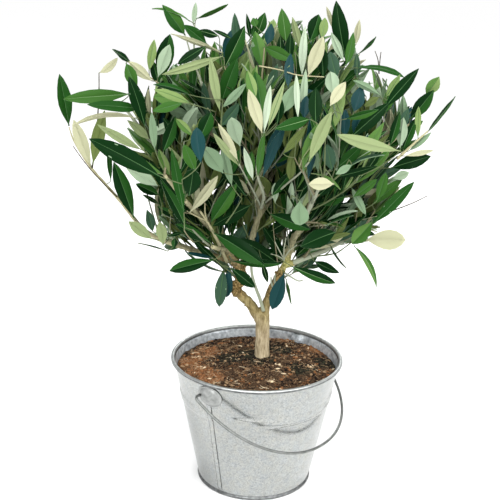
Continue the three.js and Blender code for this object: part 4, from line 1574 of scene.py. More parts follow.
def grow_leaves(crown, mass, row, twig, low, spray, random):
    """Pairs of leaves up a shoot, each pair turned a quarter from the last, and two at its tip"""
    shoot = twig["limb"]
    pairs = max(1, round(shoot.length * (1 - low) / LEAF["step"]))
    start = random(0, 3)
    for pair in range(pairs):
        t = low + (1 - low) * (pair + 0.4) / pairs
        root, way = shoot.at(t), shoot.way(t)
        for side in (0, math.pi):
            turn = pair * math.pi / 2 + start + side + random(*LEAF["stray"])
            size = LEAF["length"] * random(*LEAF["size"]) * (1 - LEAF["shrink"] * t)
            angle = random(*LEAF["angle"])
            if grow_leaf(crown, mass, row, root, way, angle, turn, size, spray, random):
                twig["used"] = max(twig["used"], t)
    root, way, angle = shoot.at(TIP_LEAF["at"]), shoot.way(1), TIP_LEAF["angle"]
    for side in (0, math.pi):
        size = LEAF["length"] * random(*TIP_LEAF["size"])
        if grow_leaf(crown, mass, row, root, way, angle, start + side, size, spray, random):
            twig["used"] = 1


def grow_twig(row, parent, t, angle, turn, length, radius, tries):
    """A twig that leaves its parent at an angle and curves up; nothing when it has no room"""
    root, axis = parent.at(t), parent.way(t)
    for attempt in range(tries):
        way = splay(axis, angle, turn + attempt * TWIG_RETRY["turn"])
        way = unit(way + TWIG["outward"] * t * outward(root) + lifted(root, TWIG["lift"]))
        size = length * (1 - TWIG_RETRY["shrink"] * attempt)
        end = root + way * size + np.array([0, 0, TWIG["rise"] * size])
        bend = root + way * size * 0.5 - np.array([0, 0, TWIG["sag"] * size])
        fits = row is None or in_space(end, row, -PAST_SPACE["twig"])
        fits = fits and in_shell(end, TWIG["room"]) and edge_room(end) > TWIG["room"]
        clear = fits and OBSTACLES.clear(root + (end - root) * TWIG["clear_from"], end, radius)
        if clear and not in_bail_sweep(end):
            radii = np.linspace(radius, radius * TWIG["taper"], TWIG["steps"] + 1)
            return Limb(bezier(root, bend, end, TWIG["steps"]), radii)
    return None


# Stems that are seen outside the leaves: the pixels that each passes through with their depth y,
# and its tip's radius
SHOWN_STEMS = {
    "low_left": (((164, 241, 15), (150, 234, 14), (137, 222, 12), (122, 203, 8), (106, 185, 4),
                  (92, 169, 0), (81, 153, 0), (73, 139, 4), (69, 127, 8)), 0.45),
}


def stem_of(row):
    """The stem of a mass, from the end of its bough"""
    stem = row["line"].part(row["entry"] - 0.01, row["stem_end"], 16)
    if row["name"] not in SHOWN_STEMS:
        return stem
    pixels, tip_radius = SHOWN_STEMS[row["name"]]
    points = smooth_route([stem.at(0), *[place_of(pixel[:2], pixel[2]) for pixel in pixels]], 4)
    return Limb(points, np.linspace(stem.radius(0), tip_radius, len(points)))


def grow_twiglets(crown, row, parent, spray, random):
    """Side shoots of a twig, with their leaves"""
    for share in TWIGLET["at"]:
        size = TWIGLET["length"] * random(*TWIGLET["size"])
        turn = random(*ANY_TURN)
        limb = grow_twig(row, parent["limb"], share, TWIGLET["angle"], turn, size,
                         TWIGLET["radius"], TWIGLET["tries"])
        if limb is None:
            continue
        side = crown.add_twig(row["name"], limb, parent["tone"])
        grow_leaves(crown, row["name"], row, side, TWIGLET["bare"], spray, random)
        if side["used"]:
            parent["used"] = max(parent["used"], share)


def grow_mass(crown, row, number):
    """The stem of a mass with its twigs, their side shoots and all their leaves"""
    mass = row["name"]
    limb = stem_of(row)
    if mass in SHOWN_STEMS:
        stem = crown.add_twig(mass, limb, STEM_TONES[0], used=1.0)
    else:
        stem = crown.add_twig(mass, limb, STEM_TONES[number % 2])
    twigs = max(4, round(limb.length / TWIG["step"]))
    for k in range(twigs):
        random = seeded(SEED + number * MASS_STEP + k * TWIG_STEP)
        random()
        t = TWIG["from"] + TWIG["over"] * k / twigs
        spray = spray_tones(limb.at(t), random)
        length = TWIG["length"] * (1 - TWIG["shrink"] * t) * random(*TWIG["size"])
        turn = k * GOLDEN_TURN + random()
        twig = grow_twig(row, limb, t, TWIG["angle"], turn, length, TWIG["radius"], TWIG["tries"])
        if twig is None:
            continue
        parent = crown.add_twig(mass, twig, GROWN_TONES[int(random(0, 3))])
        grow_leaves(crown, mass, row, parent, TWIG["bare"], spray, random)
        grow_twiglets(crown, row, parent, spray, random)
        if parent["used"]:
            stem["used"] = max(stem["used"], t)
    random = seeded(SEED + number)
    random()
    grow_leaves(crown, mass, row, stem, STEM_BARE, spray_tones(limb.at(1), random), random)


# Leaves that stand out in the photograph: the pixels of each leaf's foot and tip, their depths y,
# the blade's width, the tones of its upper and under sides, the turn of its upper side from the
# camera in degrees, its bend, and whether its tip is full and round. A row ends early where the
# rest is as in the usual leaf
SHOWN_COLUMNS = ("foot", "tip", "depths", "width", "upper", "under", "face", "bend", "blunt")
USUAL_LEAF = {"under": "grey", "face": 10, "bend": 0.1, "blunt": False}
SHOWN_LEAVES = [
    ((69, 126), (59, 75), (8, 4), 13, "deep", "grey", 20, 0.3),
    ((130, 94), (64, 100), (2, -14), 12.5, "mid", "sage", 10, 0.5),
    ((143, 109), (88, 106), (-20, -40), 11, "deep", "sage", 30, 0.4),
    ((91, 166), (73, 121), (-2, -4), 11.5, "mid", "cream", 170, 0.2),
    ((136, 118), (72, 125), (-24, -34), 7, "straw", "cream", 130, 1.0),
    ((142, 150), (97, 126), (-20, -26), 8, "bright", "straw", 165, 0.2),
    ((161, 177), (91, 138), (-70, -82), 15, "dark", "grey", 0, 0.2),
    ((93, 164), (103, 111), (-8, -8), 12, "bright", "olive", 165, 0.2),
    ((99, 73), (118, 58), (10, 0), 8, "mid", "cream", 150, 0.9),
    ((132, 64), (113, 49), (4, 0), 8, "dark", "grey", 50),
    ((152, 81), (129, 62), (-10, -10), 9, "mid", "cream", 170),
    ((126, 63), (137, 88), (-12, -20), 11, "mid", "sage", 20, 0.4),
    ((145, 127), (130, 77), (-30, -30), 12, "dark", "grey", 10, 0.2),
    ((149, 71), (154, 40), (-12, -12), 8, "fresh", "sage", 20),
    ((159, 81), (170, 35), (-6, -4), 15, "dark", "grey", 0, 0.3),
    ((158, 77), (169, 45), (-14, -14), 11, "mid", "sage", 170),
    ((185, 35), (163, 5), (10, 6), 12.5, "deep", "sage", 10, 0.3),
    ((196, 19), (228, 5), (12, 8), 7.5, "mid", "grey", 60, 0.2),
    ((193, 24), (196, 3), (12, 12), 5, "mid", "sage", 160),
    ((207, 44), (184, 25), (4, 0), 10, "deep", "grey", 10, 0.2),
    ((219, 36), (199, 31), (8, 2), 8, "dark", "grey", 30, 0.2),
    ((238, 62), (235, 14), (4, 10), 11, "slate", "grey", 30),
    ((225, 67), (245, 27), (-22, -18), 14, "dark", "grey", 0, 0.2),
    ((222, 101), (236, 59), (-34, -30), 14, "deep"),
    ((263, 70), (255, 32), (-24, -18), 12, "mid", "grey", 10, 0.2),
    ((264, 47), (294, 60), (-22, -34), 10, "mid", "sage", 0, 0.4),
    ((257, 36), (265, 13), (8, 10), 10, "deep", "grey", 0, 0.2),
    ((286, 42), (282, 9), (0, 4), 12, "mid", "sage", 20),
    ((301, 50), (292, 18), (-12, -8), 7.5, "fresh", "straw", 150),
    ((310, 41), (319, 15), (-4, 0), 14, "dark", "grey", 20, 0.3),
    ((302, 76), (304, 27), (-24, -16), 7, "mid", "pale", 175),
    ((308, 76), (323, 37), (-30, -24), 11.5, "mid", "cream", 175, 0.2),
    ((346, 61), (335, 2), (6, 10), 14, "dark", "grey", 5, 0.2),
    ((334, 30), (327, 7), (12, 14), 5, "mid", "cream", 150),
    ((356, 45), (359, 20), (8, 8), 6.5, "fresh", "cream", 150),
    ((359, 54), (376, 37), (6, 4), 5.5, "dark", "grey", 60, 0.2),
    ((357, 68), (405, 77), (0, -6), 8, "deep", "grey", -50, 0.9),
    ((352, 136), (389, 103), (-52, -46), 12, "dark"),
    ((384, 108), (418, 69), (-40, -32), 11, "dark", "grey", 20),
    ((345, 138), (345, 110), (-54, -52), 8.5, "blue"),
    ((426, 95), (439, 77), (6, 0), 11.5, "bright", "sage", 20, 0.3),
    ((410, 119), (434, 91), (2, 0), 12.5, "dark", "grey", 0, 0.2),
    ((427, 133), (455, 97), (8, 4), 7, "dark", "grey", 55),
    ((400, 148), (403, 118), (-12, -12), 10, "mid", "sage", 170),
    ((400, 151), (337, 137), (-68, -84), 10, "mid", "straw", 175, 0.2),
    ((391, 168), (430, 156), (-6, -14), 12.5, "dark", "grey", 0, 0.3),
    ((373, 224), (413, 182), (-22, -22), 11, "deep", "sage", 10, 0.2),
    ((366, 240), (405, 239), (-22, -30), 18, "fresh", "cream", 172, 0.3, True),
    ((372, 222), (353, 244), (-26, -44), 13, "mid", "sage", 10, 0.2, True),
    ((354, 246), (377, 288), (-26, -30), 8, "mid", "sage", -45, 1.0),
    ((330, 245), (346, 268), (-14, -16), 4.5, "dark", "olive", 60, 0.4),
    ((336, 232), (301, 245), (-54, -72), 15, "dark", "grey", 0, 0.3),
    ((291, 266), (335, 283), (-22, -30), 10, "dark", "grey", 20, 0.4, True),
    ((314, 261), (339, 273), (-8, -14), 9, "dark", "grey", 20, 0.4),
    ((270, 214), (310, 229), (-10, -30), 12.5, "dark", "grey", 10, 0.3),
    ((300, 201), (300, 225), (-56, -66), 15, "fresh", "grey", 175, 0.5, True),
    ((334, 184), (309, 184), (-80, -86), 10, "fresh", "cream", 172, 0.2),
    ((266, 162), (284, 122), (-48, -50), 11, "blue", "grey", 10, 0.2),
    ((262, 133), (249, 90), (-74, -78), 9.6, "mid", "cream", 172, 0.2),
    ((258, 176), (263, 132), (-62, -74), 6.6, "mid", "sage", 20),
    ((264, 133), (270, 86), (-74, -76), 5.6, "mid", "pale", 174),
    ((268, 128), (284, 82), (-74, -74), 6, "straw", "sage"),
    ((238, 161), (219, 124), (-62, -70), 6.8, "fresh", "cream", 170),
    ((240, 146), (231, 118), (-56, -60), 12.5, "mid", "sage", 172, 0.2, True),
    ((239, 166), (213, 134), (-58, -72), 6, "fresh", "straw", 165),
    ((253, 180), (244, 148), (-56, -66), 6, "mid", "pale", 168),
    ((263, 177), (279, 132), (-56, -64), 8, "blue"),
    ((283, 154), (307, 126), (-66, -72), 6.6, "mid", "olive", 172),
    ((290, 181), (292, 157), (-40, -46), 8, "mid", "olive", 170),
    ((275, 203), (275, 183), (-10, -20), 6.6, "mid", "sage", 170),
    ((333, 95), (331, 72), (-60, -56), 11.5, "mid", "sage", 172, 0.2, True),
    ((330, 106), (345, 82), (-68, -62), 9, "mid", "cream", 170, 0.2),
    ((232, 186), (222, 146), (-44, -42), 8, "deep", "grey", 165),
    ((226, 180), (240, 150), (-42, -40), 8, "deep"),
    ((246, 196), (217, 160), (-22, -28), 11, "dark", "grey", 10, 0.2),
    ((214, 190), (240, 157), (0, 0), 12, "dark", "grey", 10, 0.2),
    ((222, 186), (216, 150), (10, 8), 11, "dark"),
    ((208, 196), (224, 158), (-10, -14), 9, "deep", "olive", 170),
    ((201, 163), (196, 128), (-74, -72), 11.5, "blue", "grey", 10, 0.1, True),
    ((199, 140), (211, 113), (-66, -64), 12, "dark"),
    ((352, 165), (336, 174), (-70, -76), 6, "mid", "grey", 170),
    ((393, 178), (409, 173), (-14, -18), 8, "mid", "sage", 170),
    ((380, 95), (354, 80), (-44, -48), 6, "mid", "grey", 168),
    ((354, 112), (362, 86), (-48, -44), 11.5, "blue"),
    ((190, 21), (152, 8), (10, 8), 4.4, "mid", "grey", 60, 0.7),
    ((223, 53), (172, 34), (-8, -12), 6.5, "fresh", "cream", 132),
    ((223, 56), (163, 76), (-30, -42), 7.6, "fresh", "straw", 168, 0.3),
    ((190, 95), (153, 85), (-46, -54), 6.8, "dark", "sage", 40, 0.8),
    ((220, 112), (210, 58), (-44, -40), 8, "mid", "straw", 170),
    ((256, 27), (253, 18), (-2, 0), 6.8, "mid", "sage"),
    ((267, 45), (272, 24), (-8, -4), 8.5, "blue"),
    ((322, 39), (325, 18), (-4, -2), 8, "fresh", "sage"),
    ((344, 61), (331, 33), (-14, -8), 6.8, "mid", "sage", 170, 0.2),
    ((346, 66), (354, 33), (-10, -4), 7.6, "mid", "olive", 10, 0.2),
    ((168, 251), (138, 243), (-8, -12), 2.8, "dark", "olive", 60, 0.2),
    ((175, 238), (174, 248), (-20, -24), 6, "dark"),
    ((184, 232), (168, 236), (-22, -26), 4.4, "dark", "grey", 30),
    ((316, 124), (315, 88), (-70, -64), 11, "dark", "sage", 0, 0.2),
    ((310, 119), (275, 129), (-76, -88), 9.5, "deep", "sage", 0, 0.4),
    ((309, 161), (330, 112), (-80, -84), 10.5, "fresh", "straw", 165, 0.2),
    ((214, 260), (170, 270), (-26, -46), 11.5, "dark", "grey", 10, 0.2, True),
    ((213, 258), (187, 253), (-12, -20), 7, "blue", "sage", 60, 0.2),
    ((214, 233), (264, 263), (-16, -38), 15.5, "dark", "sage", 0, 0.2),
    ((231, 268), (255, 287), (-18, -30), 11, "dark", "grey", 20, 0.2),
    ((251, 205), (213, 225), (-6, -14), 14, "dark", "grey", 0, 0.2),
    ((232, 261), (281, 265), (-4, -20), 7.5, "dark", "grey", 10, 0.2),
    ((276, 262), (240, 238), (22, 12), 12, "dark", "grey", 10, 0.2),
    ((243, 264), (286, 247), (34, 24), 11, "dark", "grey", 10, 0.2),
    ((284, 258), (263, 226), (26, 20), 11, "dark", "grey", 10, 0.2),
    ((252, 256), (254, 224), (24, 20), 11, "blue"),
    ((282, 254), (300, 226), (34, 26), 11, "dark", "grey", 10, 0.2),
    ((232, 250), (246, 224), (20, 14), 11, "slate", "grey", 10, 0.2),
    ((262, 236), (293, 218), (30, 22), 10, "dark", "grey", 10, 0.2),
    ((296, 256), (320, 232), (26, 20), 11, "dark", "grey", 10, 0.2),
    ((292, 262), (254, 250), (44, 40), 12, "dark", "olive", 10, 0.2),
    ((211, 222), (235, 184), (-24, -44), 14, "deep", "sage", 25, 0.3),
    ((190, 212), (218, 177), (-32, -48), 9, "mid", "cream", 165, 0.2),
    ((189, 196), (194, 169), (-66, -72), 15, "dark", "sage", 0, 0.5, True),
    ((186, 228), (161, 181), (-40, -48), 10, "dark", "sage", 20, 0.4),
    ((184, 213), (171, 150), (-54, -50), 9, "deep", "grey", 10, 0.3),
    ((134, 218), (114, 163), (-10, -12), 14, "dark", "grey", 5, 0.2),
    ((111, 181), (108, 149), (4, 6), 6, "deep", "grey", 40),
    ((158, 186), (127, 167), (-40, -44), 11, "mid", "sage", 170, 0.2),
    ((159, 195), (136, 184), (-20, -24), 9, "dark", "grey", 10, 0.2),
    ((159, 204), (143, 195), (-14, -18), 6, "dark", "grey", 50, 0.2),
    ((152, 239), (129, 222), (-8, -10), 11, "mid", "straw", 160, 0.2),
    ((153, 232), (147, 210), (-12, -12), 9, "slate", "sage", 30, 0.2),
    ((163, 245), (160, 222), (-14, -16), 10, "fresh", "straw", 165),
    ((222, 108), (246, 84), (-46, -42), 7, "deep", "grey", 168),
    ((183, 103), (153, 111), (-56, -62), 8, "mid", "sage", 10, 0.3),
    ((190, 103), (155, 89), (-50, -56), 8, "fresh", "straw", 20, 0.2),
    ((163, 152), (176, 117), (-48, -46), 10, "dark"),
    ((155, 150), (151, 113), (-46, -44), 7, "slate", "grey", 165),
    ((193, 136), (176, 119), (-50, -52), 7, "bright", "olive"),
    ((196, 172), (184, 145), (-64, -62), 10, "mid", "sage"),
    ((223, 173), (204, 146), (-50, -50), 14, "slate", "grey", 170),
    ((262, 113), (256, 72), (-64, -56), 12, "deep", "grey", 5),
    ((256, 98), (247, 71), (-68, -62), 8, "bright", "sage"),
    ((284, 113), (294, 85), (-66, -60), 11, "mid", "grey", 170),
    ((277, 125), (281, 98), (-70, -68), 7.5, "dark"),
    ((288, 88), (290, 54), (-54, -46), 8, "blue"),
    ((298, 119), (296, 75), (-68, -62), 5, "mid", "pale", 168),
    ((303, 113), (305, 70), (-62, -56), 6, "mid", "sage", 172),
    ((304, 119), (306, 96), (-64, -60), 8.5, "blue"),
    ((405, 156), (433, 150), (-14, -16), 5, "olive", "cream", 160, 0.3),
    ((418, 138), (418, 107), (-2, -2), 6, "fresh", "sage", 20),
    ((390, 146), (400, 112), (-26, -22), 8, "dark"),
    ((403, 150), (415, 119), (-4, -2), 9, "dark"),
    ((354, 135), (361, 114), (-50, -48), 10, "blue"),
    ((386, 97), (400, 75), (-22, -20), 8, "fresh", "sage", 20),
    ((224, 58), (231, 31), (0, 4), 8.5, "blue"),
    ((290, 60), (290, 33), (-16, -12), 7.5, "dark"),
    ((323, 78), (322, 46), (-20, -16), 10, "dark"),
    ((337, 80), (330, 52), (-18, -14), 11, "slate"),
    ((357, 79), (357, 53), (4, 6), 6, "slate"),
    ((232, 39), (214, 30), (-4, -2), 4.2, "dark", "grey", 30, 0.2),
    ((206, 46), (178, 64), (-10, -14), 9, "dark", "grey", 20, 0.2),
    ((180, 100), (154, 96), (-30, -36), 13, "bright", "grey", 10, 0.3),
    ((178, 142), (164, 118), (-36, -36), 9, "dark"),
    ((176, 122), (152, 134), (-16, -22), 9, "mid", "sage", 170, 0.2),
    ((170, 176), (158, 150), (-30, -30), 8, "bright", "sage"),
    ((150, 140), (128, 120), (-8, -10), 8, "bright", "straw", 165, 0.2),
    ((332, 171), (327, 145), (-66, -70), 11, "slate", "grey", 10, 0.2),
    ((338, 167), (362, 146), (-60, -66), 10, "deep", "grey", 10, 0.2),
    ((336, 177), (377, 166), (-54, -60), 6.5, "dark", "grey", 20, 0.3),
    ((311, 173), (341, 190), (-62, -72), 4.5, "bright", "straw", -60, 0.9),
    ((353, 197), (377, 180), (-48, -52), 7.5, "mid", "grey", 10, 0.3),
    ((377, 201), (386, 173), (-36, -34), 9, "mid", "grey", 10, 0.2),
    ((351, 187), (366, 214), (-42, -50), 6.5, "mid", "grey", 168, 0.3),
    ((346, 119), (378, 110), (-58, -62), 6.5, "deep", "grey", 20, 0.3),
    ((379, 97), (364, 106), (-34, -40), 6.5, "bright", "olive", 165, 0.2),
    ((386, 113), (394, 83), (-22, -18), 9, "mid"),
    ((397, 136), (408, 109), (-12, -8), 8.5, "slate"),
    ((221, 126), (239, 104), (-48, -46), 10, "slate"),
    ((246, 184), (252, 152), (-36, -40), 9, "deep"),
    ((272, 196), (291, 172), (-16, -26), 9, "dark", "grey", 10, 0.2),
    ((303, 190), (324, 168), (-34, -44), 9, "dark", "grey", 10, 0.2),
    ((318, 204), (345, 196), (-40, -50), 10, "dark", "grey", 10, 0.3),
    ((250, 38), (247, 14), (4, 6), 4.5, "dark", "grey", 20),
    ((251, 38), (257, 18), (2, 2), 4.5, "deep", "grey", 20),
    ((281, 60), (280, 36), (-8, -4), 7, "dark"),
    ((312, 60), (300, 30), (10, 12), 9, "deep"),
    ((402, 134), (404, 95), (-6, -4), 9, "slate", "grey", 168),
    ((409, 151), (431, 133), (-2, 4), 5.5, "mid", "grey", 165),
    ((372, 205), (402, 178), (-12, -14), 9, "mid", "grey", 10, 0.2),
    ((262, 262), (268, 282), (2, -4), 6, "dark", "grey", 30, 0.2),
    ((159, 86), (152, 60), (-8, -6), 8.5, "dark"),
    ((225, 183), (214, 152), (38, 34), 15, "dark", "olive"),
    ((211, 243), (176, 224), (-26, -32), 10, "dark", "grey", 20, 0.2),
]
# The same for those that hang under the crown
SPRIG_LEAVES = [
    ((224, 268), (219, 306), (4, 0), 11.5, "slate", "grey", 10, 0.15, True),
    ((229, 267), (227, 297), (2, 6), 10, "blue", "olive", 20, 0.15, True),
    ((284, 273), (273, 309), (0, -8), 13.5, "blue", "grey", 10, 0.15, True),
    ((286, 279), (291, 304), (4, 2), 5.5, "mid", "olive", 60),
]

# Shoots that show between the leaves: pixels with their depth y, radii, tone, and whether a shoot
# is bare, with no leaf joined to it
SHOWN_TWIGS = [
    (((261, 208, 16), (264, 197, -6), (261, 186, -32), (257, 172, -56), (258, 155, -66),
      (262, 138, -72)), (1.7, 0.6), "grey", False),
    (((263, 204, 16), (273, 196, -4), (288, 183, -34), (300, 173, -58), (309, 162, -78)),
     (1.1, 0.6), "grey", False),
    (((261, 207, 16), (256, 196, -4), (248, 181, -34), (239, 164, -60)), (1.1, 0.6), "grey", False),
    (((202, 86, -4), (195, 62, 4), (194, 44, 8), (195, 24, 12)), (1.1, 0.5), "grey", False),
    (((201, 80, -2), (192, 58, 4), (186, 38, 6)), (0.9, 0.5), "grey", False),
    (((259, 66, -42), (280, 70, -48), (297, 75, -54), (324, 77, -60)), (0.65, 0.4), "beige", True),
    (((227, 262, 8), (217, 240, -4), (207, 221, -18), (200, 211, -26)), (1.6, 0.9), "beige", False),
    (((207, 221, -18), (196, 216, -24), (187, 211, -30)), (0.8, 0.5), "beige", False),
    (((207, 221, -18), (205, 212, -26), (205, 203, -32)), (0.8, 0.5), "beige", False),
    (((92, 169, 0), (96, 142, -4), (98, 112, -4), (99, 90, 2), (99, 73, 8)),
     (0.7, 0.4), "dark", False),
    (((117, 197, 5), (104, 184, 1), (91, 170, -4), (83, 160, -4), (73, 146, -2)),
     (0.6, 0.35), "dark", True),
    (((388, 212, -8), (400, 208, -10), (415, 202, -12), (427, 196, -12)),
     (0.6, 0.35), "dark", True),
    (((172, 100, -4), (158, 83, -8), (148, 76, -6), (138, 68, -4), (128, 62, -2)),
     (0.8, 0.4), "beige", False),
    (((203, 154, -60), (208, 140, -62), (213, 126, -58), (216, 112, -50)),
     (0.4, 0.3), "dark", False),
    (((221, 128, -58), (222, 113, -50), (223, 100, -44)), (0.6, 0.4), "green", False),
    (((397, 159, -10), (410, 147, -6), (420, 138, 0), (428, 131, 6)), (1.3, 0.6), "beige", False),
    (((379, 74, 0), (378, 60, 2), (375, 51, 4)), (0.5, 0.3), "dark", True),
    (((379, 72, 0), (380, 60, 0), (381, 52, 0)), (0.5, 0.3), "dark", True),
    (((284, 260, 6), (284, 249, -8), (286, 238, -16)), (0.8, 0.35), "grey", False),
    (((284, 259, 4), (279, 250, -8), (275, 242, -14)), (0.7, 0.35), "grey", False),
    (((284, 258, 4), (290, 250, -8), (297, 245, -14)), (0.7, 0.35), "grey", False),
    (((284, 260, 6), (278, 256, -4), (271, 254, -12)), (0.7, 0.35), "grey", False),
]

# The middle of the crown's front comes further forward than the depths that were read for it
FRONT = {"from": -40, "share": 0.7}
# The share of the middle main bough that is seen between the leaves
BARE_SPAN = (0.12, 0.62)
# What a shown leaf's pixels don't tell
SHOWN_SHAPE = {"sway": (-0.15, 0.15), "twist": (-0.25, 0.25), "fold": (0.08, 0.25)}
SHOWN_BLUNTNESS = 0.7
SHOWN_LENGTH = 1.02
# The fine twigs that join shown leaves: radii at the foot, how they turn into the leaf's direction,
# and what counts against a place to leave from that is out of line or above the leaf
JOIN = {"thin": 0.38, "per_length": 0.005, "thick": 0.75, "tip": 0.34, "ease": 0.4, "ease_most": 14,
        "sunk": 0.6, "steps": 10, "least": 1, "out_of_line": 0.7, "above": 0.3}
# The shares of the main boughs and boughs from which they can leave
JOIN_FROM = {"main": 0.35, "bough": 0.05}
# Twigs thicker than this get more sides; and how a twig's thickness varies along it
THICK_TWIG = 1.2
RIPPLE = {"high": 0.12, "step": 2.3}


def forward(y):
    return y + FRONT["share"] * min(y - FRONT["from"], 0)


def nearest_row(point):
    return min(CROWN, key=lambda row: np.linalg.norm(row["middle"] - point))


def place_shown_twigs(crown):
    for pixels, radii, tone, bare in SHOWN_TWIGS:
        places = [place_of(pixel[:2], forward(pixel[2])) for pixel in pixels]
        points = smooth_route(places, 6)
        limb = Limb(points, np.linspace(*radii, len(points)))
        crown.add_twig(nearest_row(points[-1])["name"], limb, tone, used=1, bare=bare)
        crown.show(points[::2])


def shown_leaf(row, random):
    """A leaf from its foot's and tip's pixels, with its upper side turned by its face angle"""
    row = {**USUAL_LEAF, **dict(zip(SHOWN_COLUMNS, row))}
    ends = zip((row["foot"], row["tip"]), row["depths"])
    root, tip = (place_of(pixel, forward(y)) for pixel, y in ends)
    along = unit(tip - root)
    to_camera = square_to(CAMERA_AT - (root + tip) / 2, along)
    normal = rotated(to_camera, along, math.radians(row["face"]))
    length = np.linalg.norm(tip - root) * SHOWN_LENGTH
    leaf = blank_leaf(root, along, normal, length, row["width"], random)
    leaf.update({name: random(*span) for name, span in SHOWN_SHAPE.items()})
    leaf.update(bend=row["bend"], upper=row["upper"], under=row["under"], rib=rib_tone(random),
                blunt=1 if row["blunt"] else SHOWN_BLUNTNESS * leaf["blunt"])
    half_bend = row["bend"] / 2
    leaf["along"] = unit(along * math.cos(half_bend) + normal * math.sin(half_bend))
    leaf["normal"] = square_to(normal, leaf["along"])
    return leaf


class Wood:
    """Places along limbs that a new twig can leave from"""

    SHARES = np.linspace(0.06, 1, 24)

    def __init__(self, twigs):
        self.twigs = twigs
        self.places = np.array([twig["limb"].at(t) for twig in twigs for t in self.SHARES])

    def best(self, foot, way):
        """The twig and share that lie best behind a leaf's foot: near to it, in line with the leaf
        and not above it"""
        run = foot - self.places
        far = np.linalg.norm(run, axis=1)
        out = JOIN["out_of_line"]
        off_line = 1 + out - out * (run @ way) / np.maximum(far, 0.1)
        k = int(np.argmin(far * off_line + JOIN["above"] * far * (run[:, 2] < 0)))
        return self.twigs[k // len(self.SHARES)], float(self.SHARES[k % len(self.SHARES)])


def shoot_to(foot, way, wood):
    """A fine twig to a leaf's foot from the wood that lies best behind it, turning into the leaf's
    direction; nothing when they touch"""
    twig, share = wood.best(foot, way)
    start = twig["limb"].at(share)
    far = np.linalg.norm(foot - start)
    twig["used"] = max(twig["used"], share)
    if far < JOIN["least"]:
        return None
    ease = unit(way + 2 * (foot - start) / far)
    bend = foot - ease * min(far * JOIN["ease"], JOIN["ease_most"])
    points = bezier(start, bend, foot + way * JOIN["sunk"], JOIN["steps"])
    width = JOIN["thin"] + far * JOIN["per_length"]
    radius = min(width, JOIN["thick"], twig["limb"].radius(share))
    return Limb(points, np.linspace(radius, JOIN["tip"], len(points)))


def place_shown_leaves(crown):
    """The leaves seen in the photograph; the rule's leaves grow round them"""
    random = seeded(SHOWN_SEED)
    for row in SHOWN_LEAVES:
        leaf = shown_leaf(row, random)
        mass = nearest_row(leaf["root"] + leaf["along"] * leaf["length"] / 2)["name"]
        crown.add_leaf(mass, leaf, shown=True)
    for row in SPRIG_LEAVES:
        crown.add_leaf("sprigs", shown_leaf(row, random), shown=True)
    bare = LIMBS["main_centre"]
    crown.show([bare.at(t) for t in np.linspace(*BARE_SPAN, 10)])


def join_shown_leaves(crown, shown):
    """Gives each shown leaf a fine twig from the wood that is best placed for it"""
    low = [{"limb": LIMBS[name].part(JOIN_FROM["main"], 1, 12), "used": 1} for name in MAIN_BOUGHS]
    boughs = [{"limb": row["line"].part(JOIN_FROM["bough"], row["entry"], 6), "used": 1}
              for row in CROWN]
    leafy = [twig for twigs in crown.twigs.values() for twig in twigs if not twig["bare"]]
    upper_wood, lower_wood = Wood(leafy + boughs), Wood(low + boughs)
    for mass, leaves in shown.items():
        wood = lower_wood if mass == "sprigs" else upper_wood
        for leaf in leaves:
            shoot = shoot_to(leaf["root"], leaf["along"], wood)
            if shoot is not None:
                crown.add_twig(mass, shoot, "green", used=1)


def grow_inner_shoots(crown):
    """Short leafy shoots along the main boughs and the boughs, each in the space it grows into"""
    spans = [(LIMBS[name], low) for name, low in INNER_FROM.items()]
    spans += [(row["line"].part(0, row["entry"], 8), INNER_SHOOT["from"]) for row in CROWN]
    for number, (limb, low) in enumerate(spans):
        shoots = round(limb.length * (1 - low) / INNER_SHOOT["step"])
        for k in range(shoots):
            random = seeded(INNER_SEED + number * MASS_STEP + k * TWIG_STEP)
            random()
            t = low + (INNER_SHOOT["high"] - low) * (k + 0.5) / shoots
            length = INNER_SHOOT["length"] * random(*INNER_SHOOT["size"])
            turn = k * GOLDEN_TURN + random()
            twig = grow_twig(None, limb, t, INNER_SHOOT["angle"], turn, length,
                             TWIGLET["radius"], TWIG["tries"])
            if twig is None:
                continue
            row = nearest_row(twig.at(1))
            spray = spray_tones(twig.at(1), random)
            shoot = crown.add_twig(row["name"], twig, GROWN_TONES[int(random(0, 3))])
            grow_leaves(crown, row["name"], row, shoot, INNER_SHOOT["bare"], spray, random)


def twigs_piece(name, twigs):
    """Each twig up to the last thing that grows on it"""
    bundle = Bundle(TWIG_TONES)
    for twig in twigs:
        if not twig["used"]:
            continue
        steps = len(twig["limb"].radii) - 1
        limb = twig["limb"].part(0, twig["used"], max(3, round(steps * twig["used"])))
        sides = 8 if limb.radii[0] > THICK_TWIG else 6
        ripple = 1 + RIPPLE["high"] * np.sin(np.arange(len(limb.radii)) * RIPPLE["step"])
        bundle.add(*tube(limb.points, limb.radii * ripple, sides), twig["tone"])
    return bundle.piece(name)


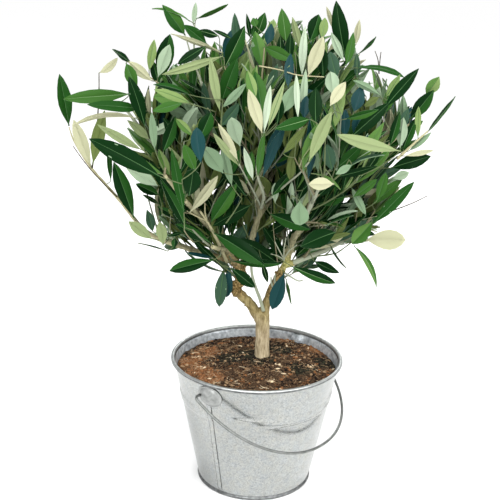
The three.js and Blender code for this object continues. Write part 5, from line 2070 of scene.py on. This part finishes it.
def make_crown():
    crown = Crown()
    place_shown_leaves(crown)
    place_shown_twigs(crown)
    shown = {mass: list(leaves) for mass, leaves in crown.leaves.items()}
    for number, row in enumerate(CROWN, 1):
        grow_mass(crown, row, number)
    grow_inner_shoots(crown)
    join_shown_leaves(crown, shown)
    for mass, leaves in crown.leaves.items():
        nodes = ["sprig_left", "sprig_right"] if mass == "sprigs" else ["foliage_" + mass]
        dress(leaves_piece("leaves_" + mass, leaves), nodes=nodes)
        dress(twigs_piece("twigs_" + mass, crown.twigs[mass]))


# Stage: lengths here are in metres

LIGHTS_AIM = Vector((0, 0, 0.25))
# Each light's place, size and power
LIGHTS = {
    "key": ((-0.6, -1.4, 1.4), 1.5, 18),
    "fill": ((1.3, -0.9, 0.9), 1.2, 12),
    "back": ((0.4, 1.4, 1.5), 1.0, 14),
}
SKY_TILT = (math.radians(38), math.radians(6), 0)
SKY_LIGHT = {"power": 2.3, "angle": math.radians(60)}
WORLD_STRENGTH = 0.52
FLOOR_REACH = 80


def add_floor():
    reach = FLOOR_REACH / MM
    verts = [(-reach, -reach, 0), (reach, -reach, 0), (reach, reach, 0), (-reach, reach, 0)]
    white = new_material("floor_white", (0.94, 0.94, 0.94), 0.9)
    make_piece("floor", verts, [(0, 1, 2, 3)], [white])


def add_lights():
    for name, (at, size, power) in LIGHTS.items():
        data = bpy.data.lights.new(name, "AREA")
        data.shape = "DISK"
        data.size = size
        data.energy = power
        light = add_object(name, data)
        light.location = at
        light.rotation_euler = (LIGHTS_AIM - Vector(at)).to_track_quat("-Z", "Y").to_euler()
    data = bpy.data.lights.new("sky", "SUN")
    data.energy = SKY_LIGHT["power"]
    data.angle = SKY_LIGHT["angle"]
    add_object("sky", data).rotation_euler = SKY_TILT


def add_world():
    world = bpy.data.worlds.new("studio")
    world.use_nodes = True
    background = world.node_tree.nodes["Background"]
    background.inputs["Color"].default_value = (1, 1, 1, 1)
    background.inputs["Strength"].default_value = WORLD_STRENGTH
    bpy.context.scene.world = world
    bpy.context.scene.view_settings.view_transform = "Standard"


make_bucket()
make_ear("ear_plate_front", EAR_TURNS[0], "ear_front")
make_ear("ear_plate_back", EAR_TURNS[1], "ear_back")
make_bail()
make_soil()
make_crumbs()
make_fibres()
make_bark()
make_shoots()
make_crown()
add_floor()
add_lights()
add_world()
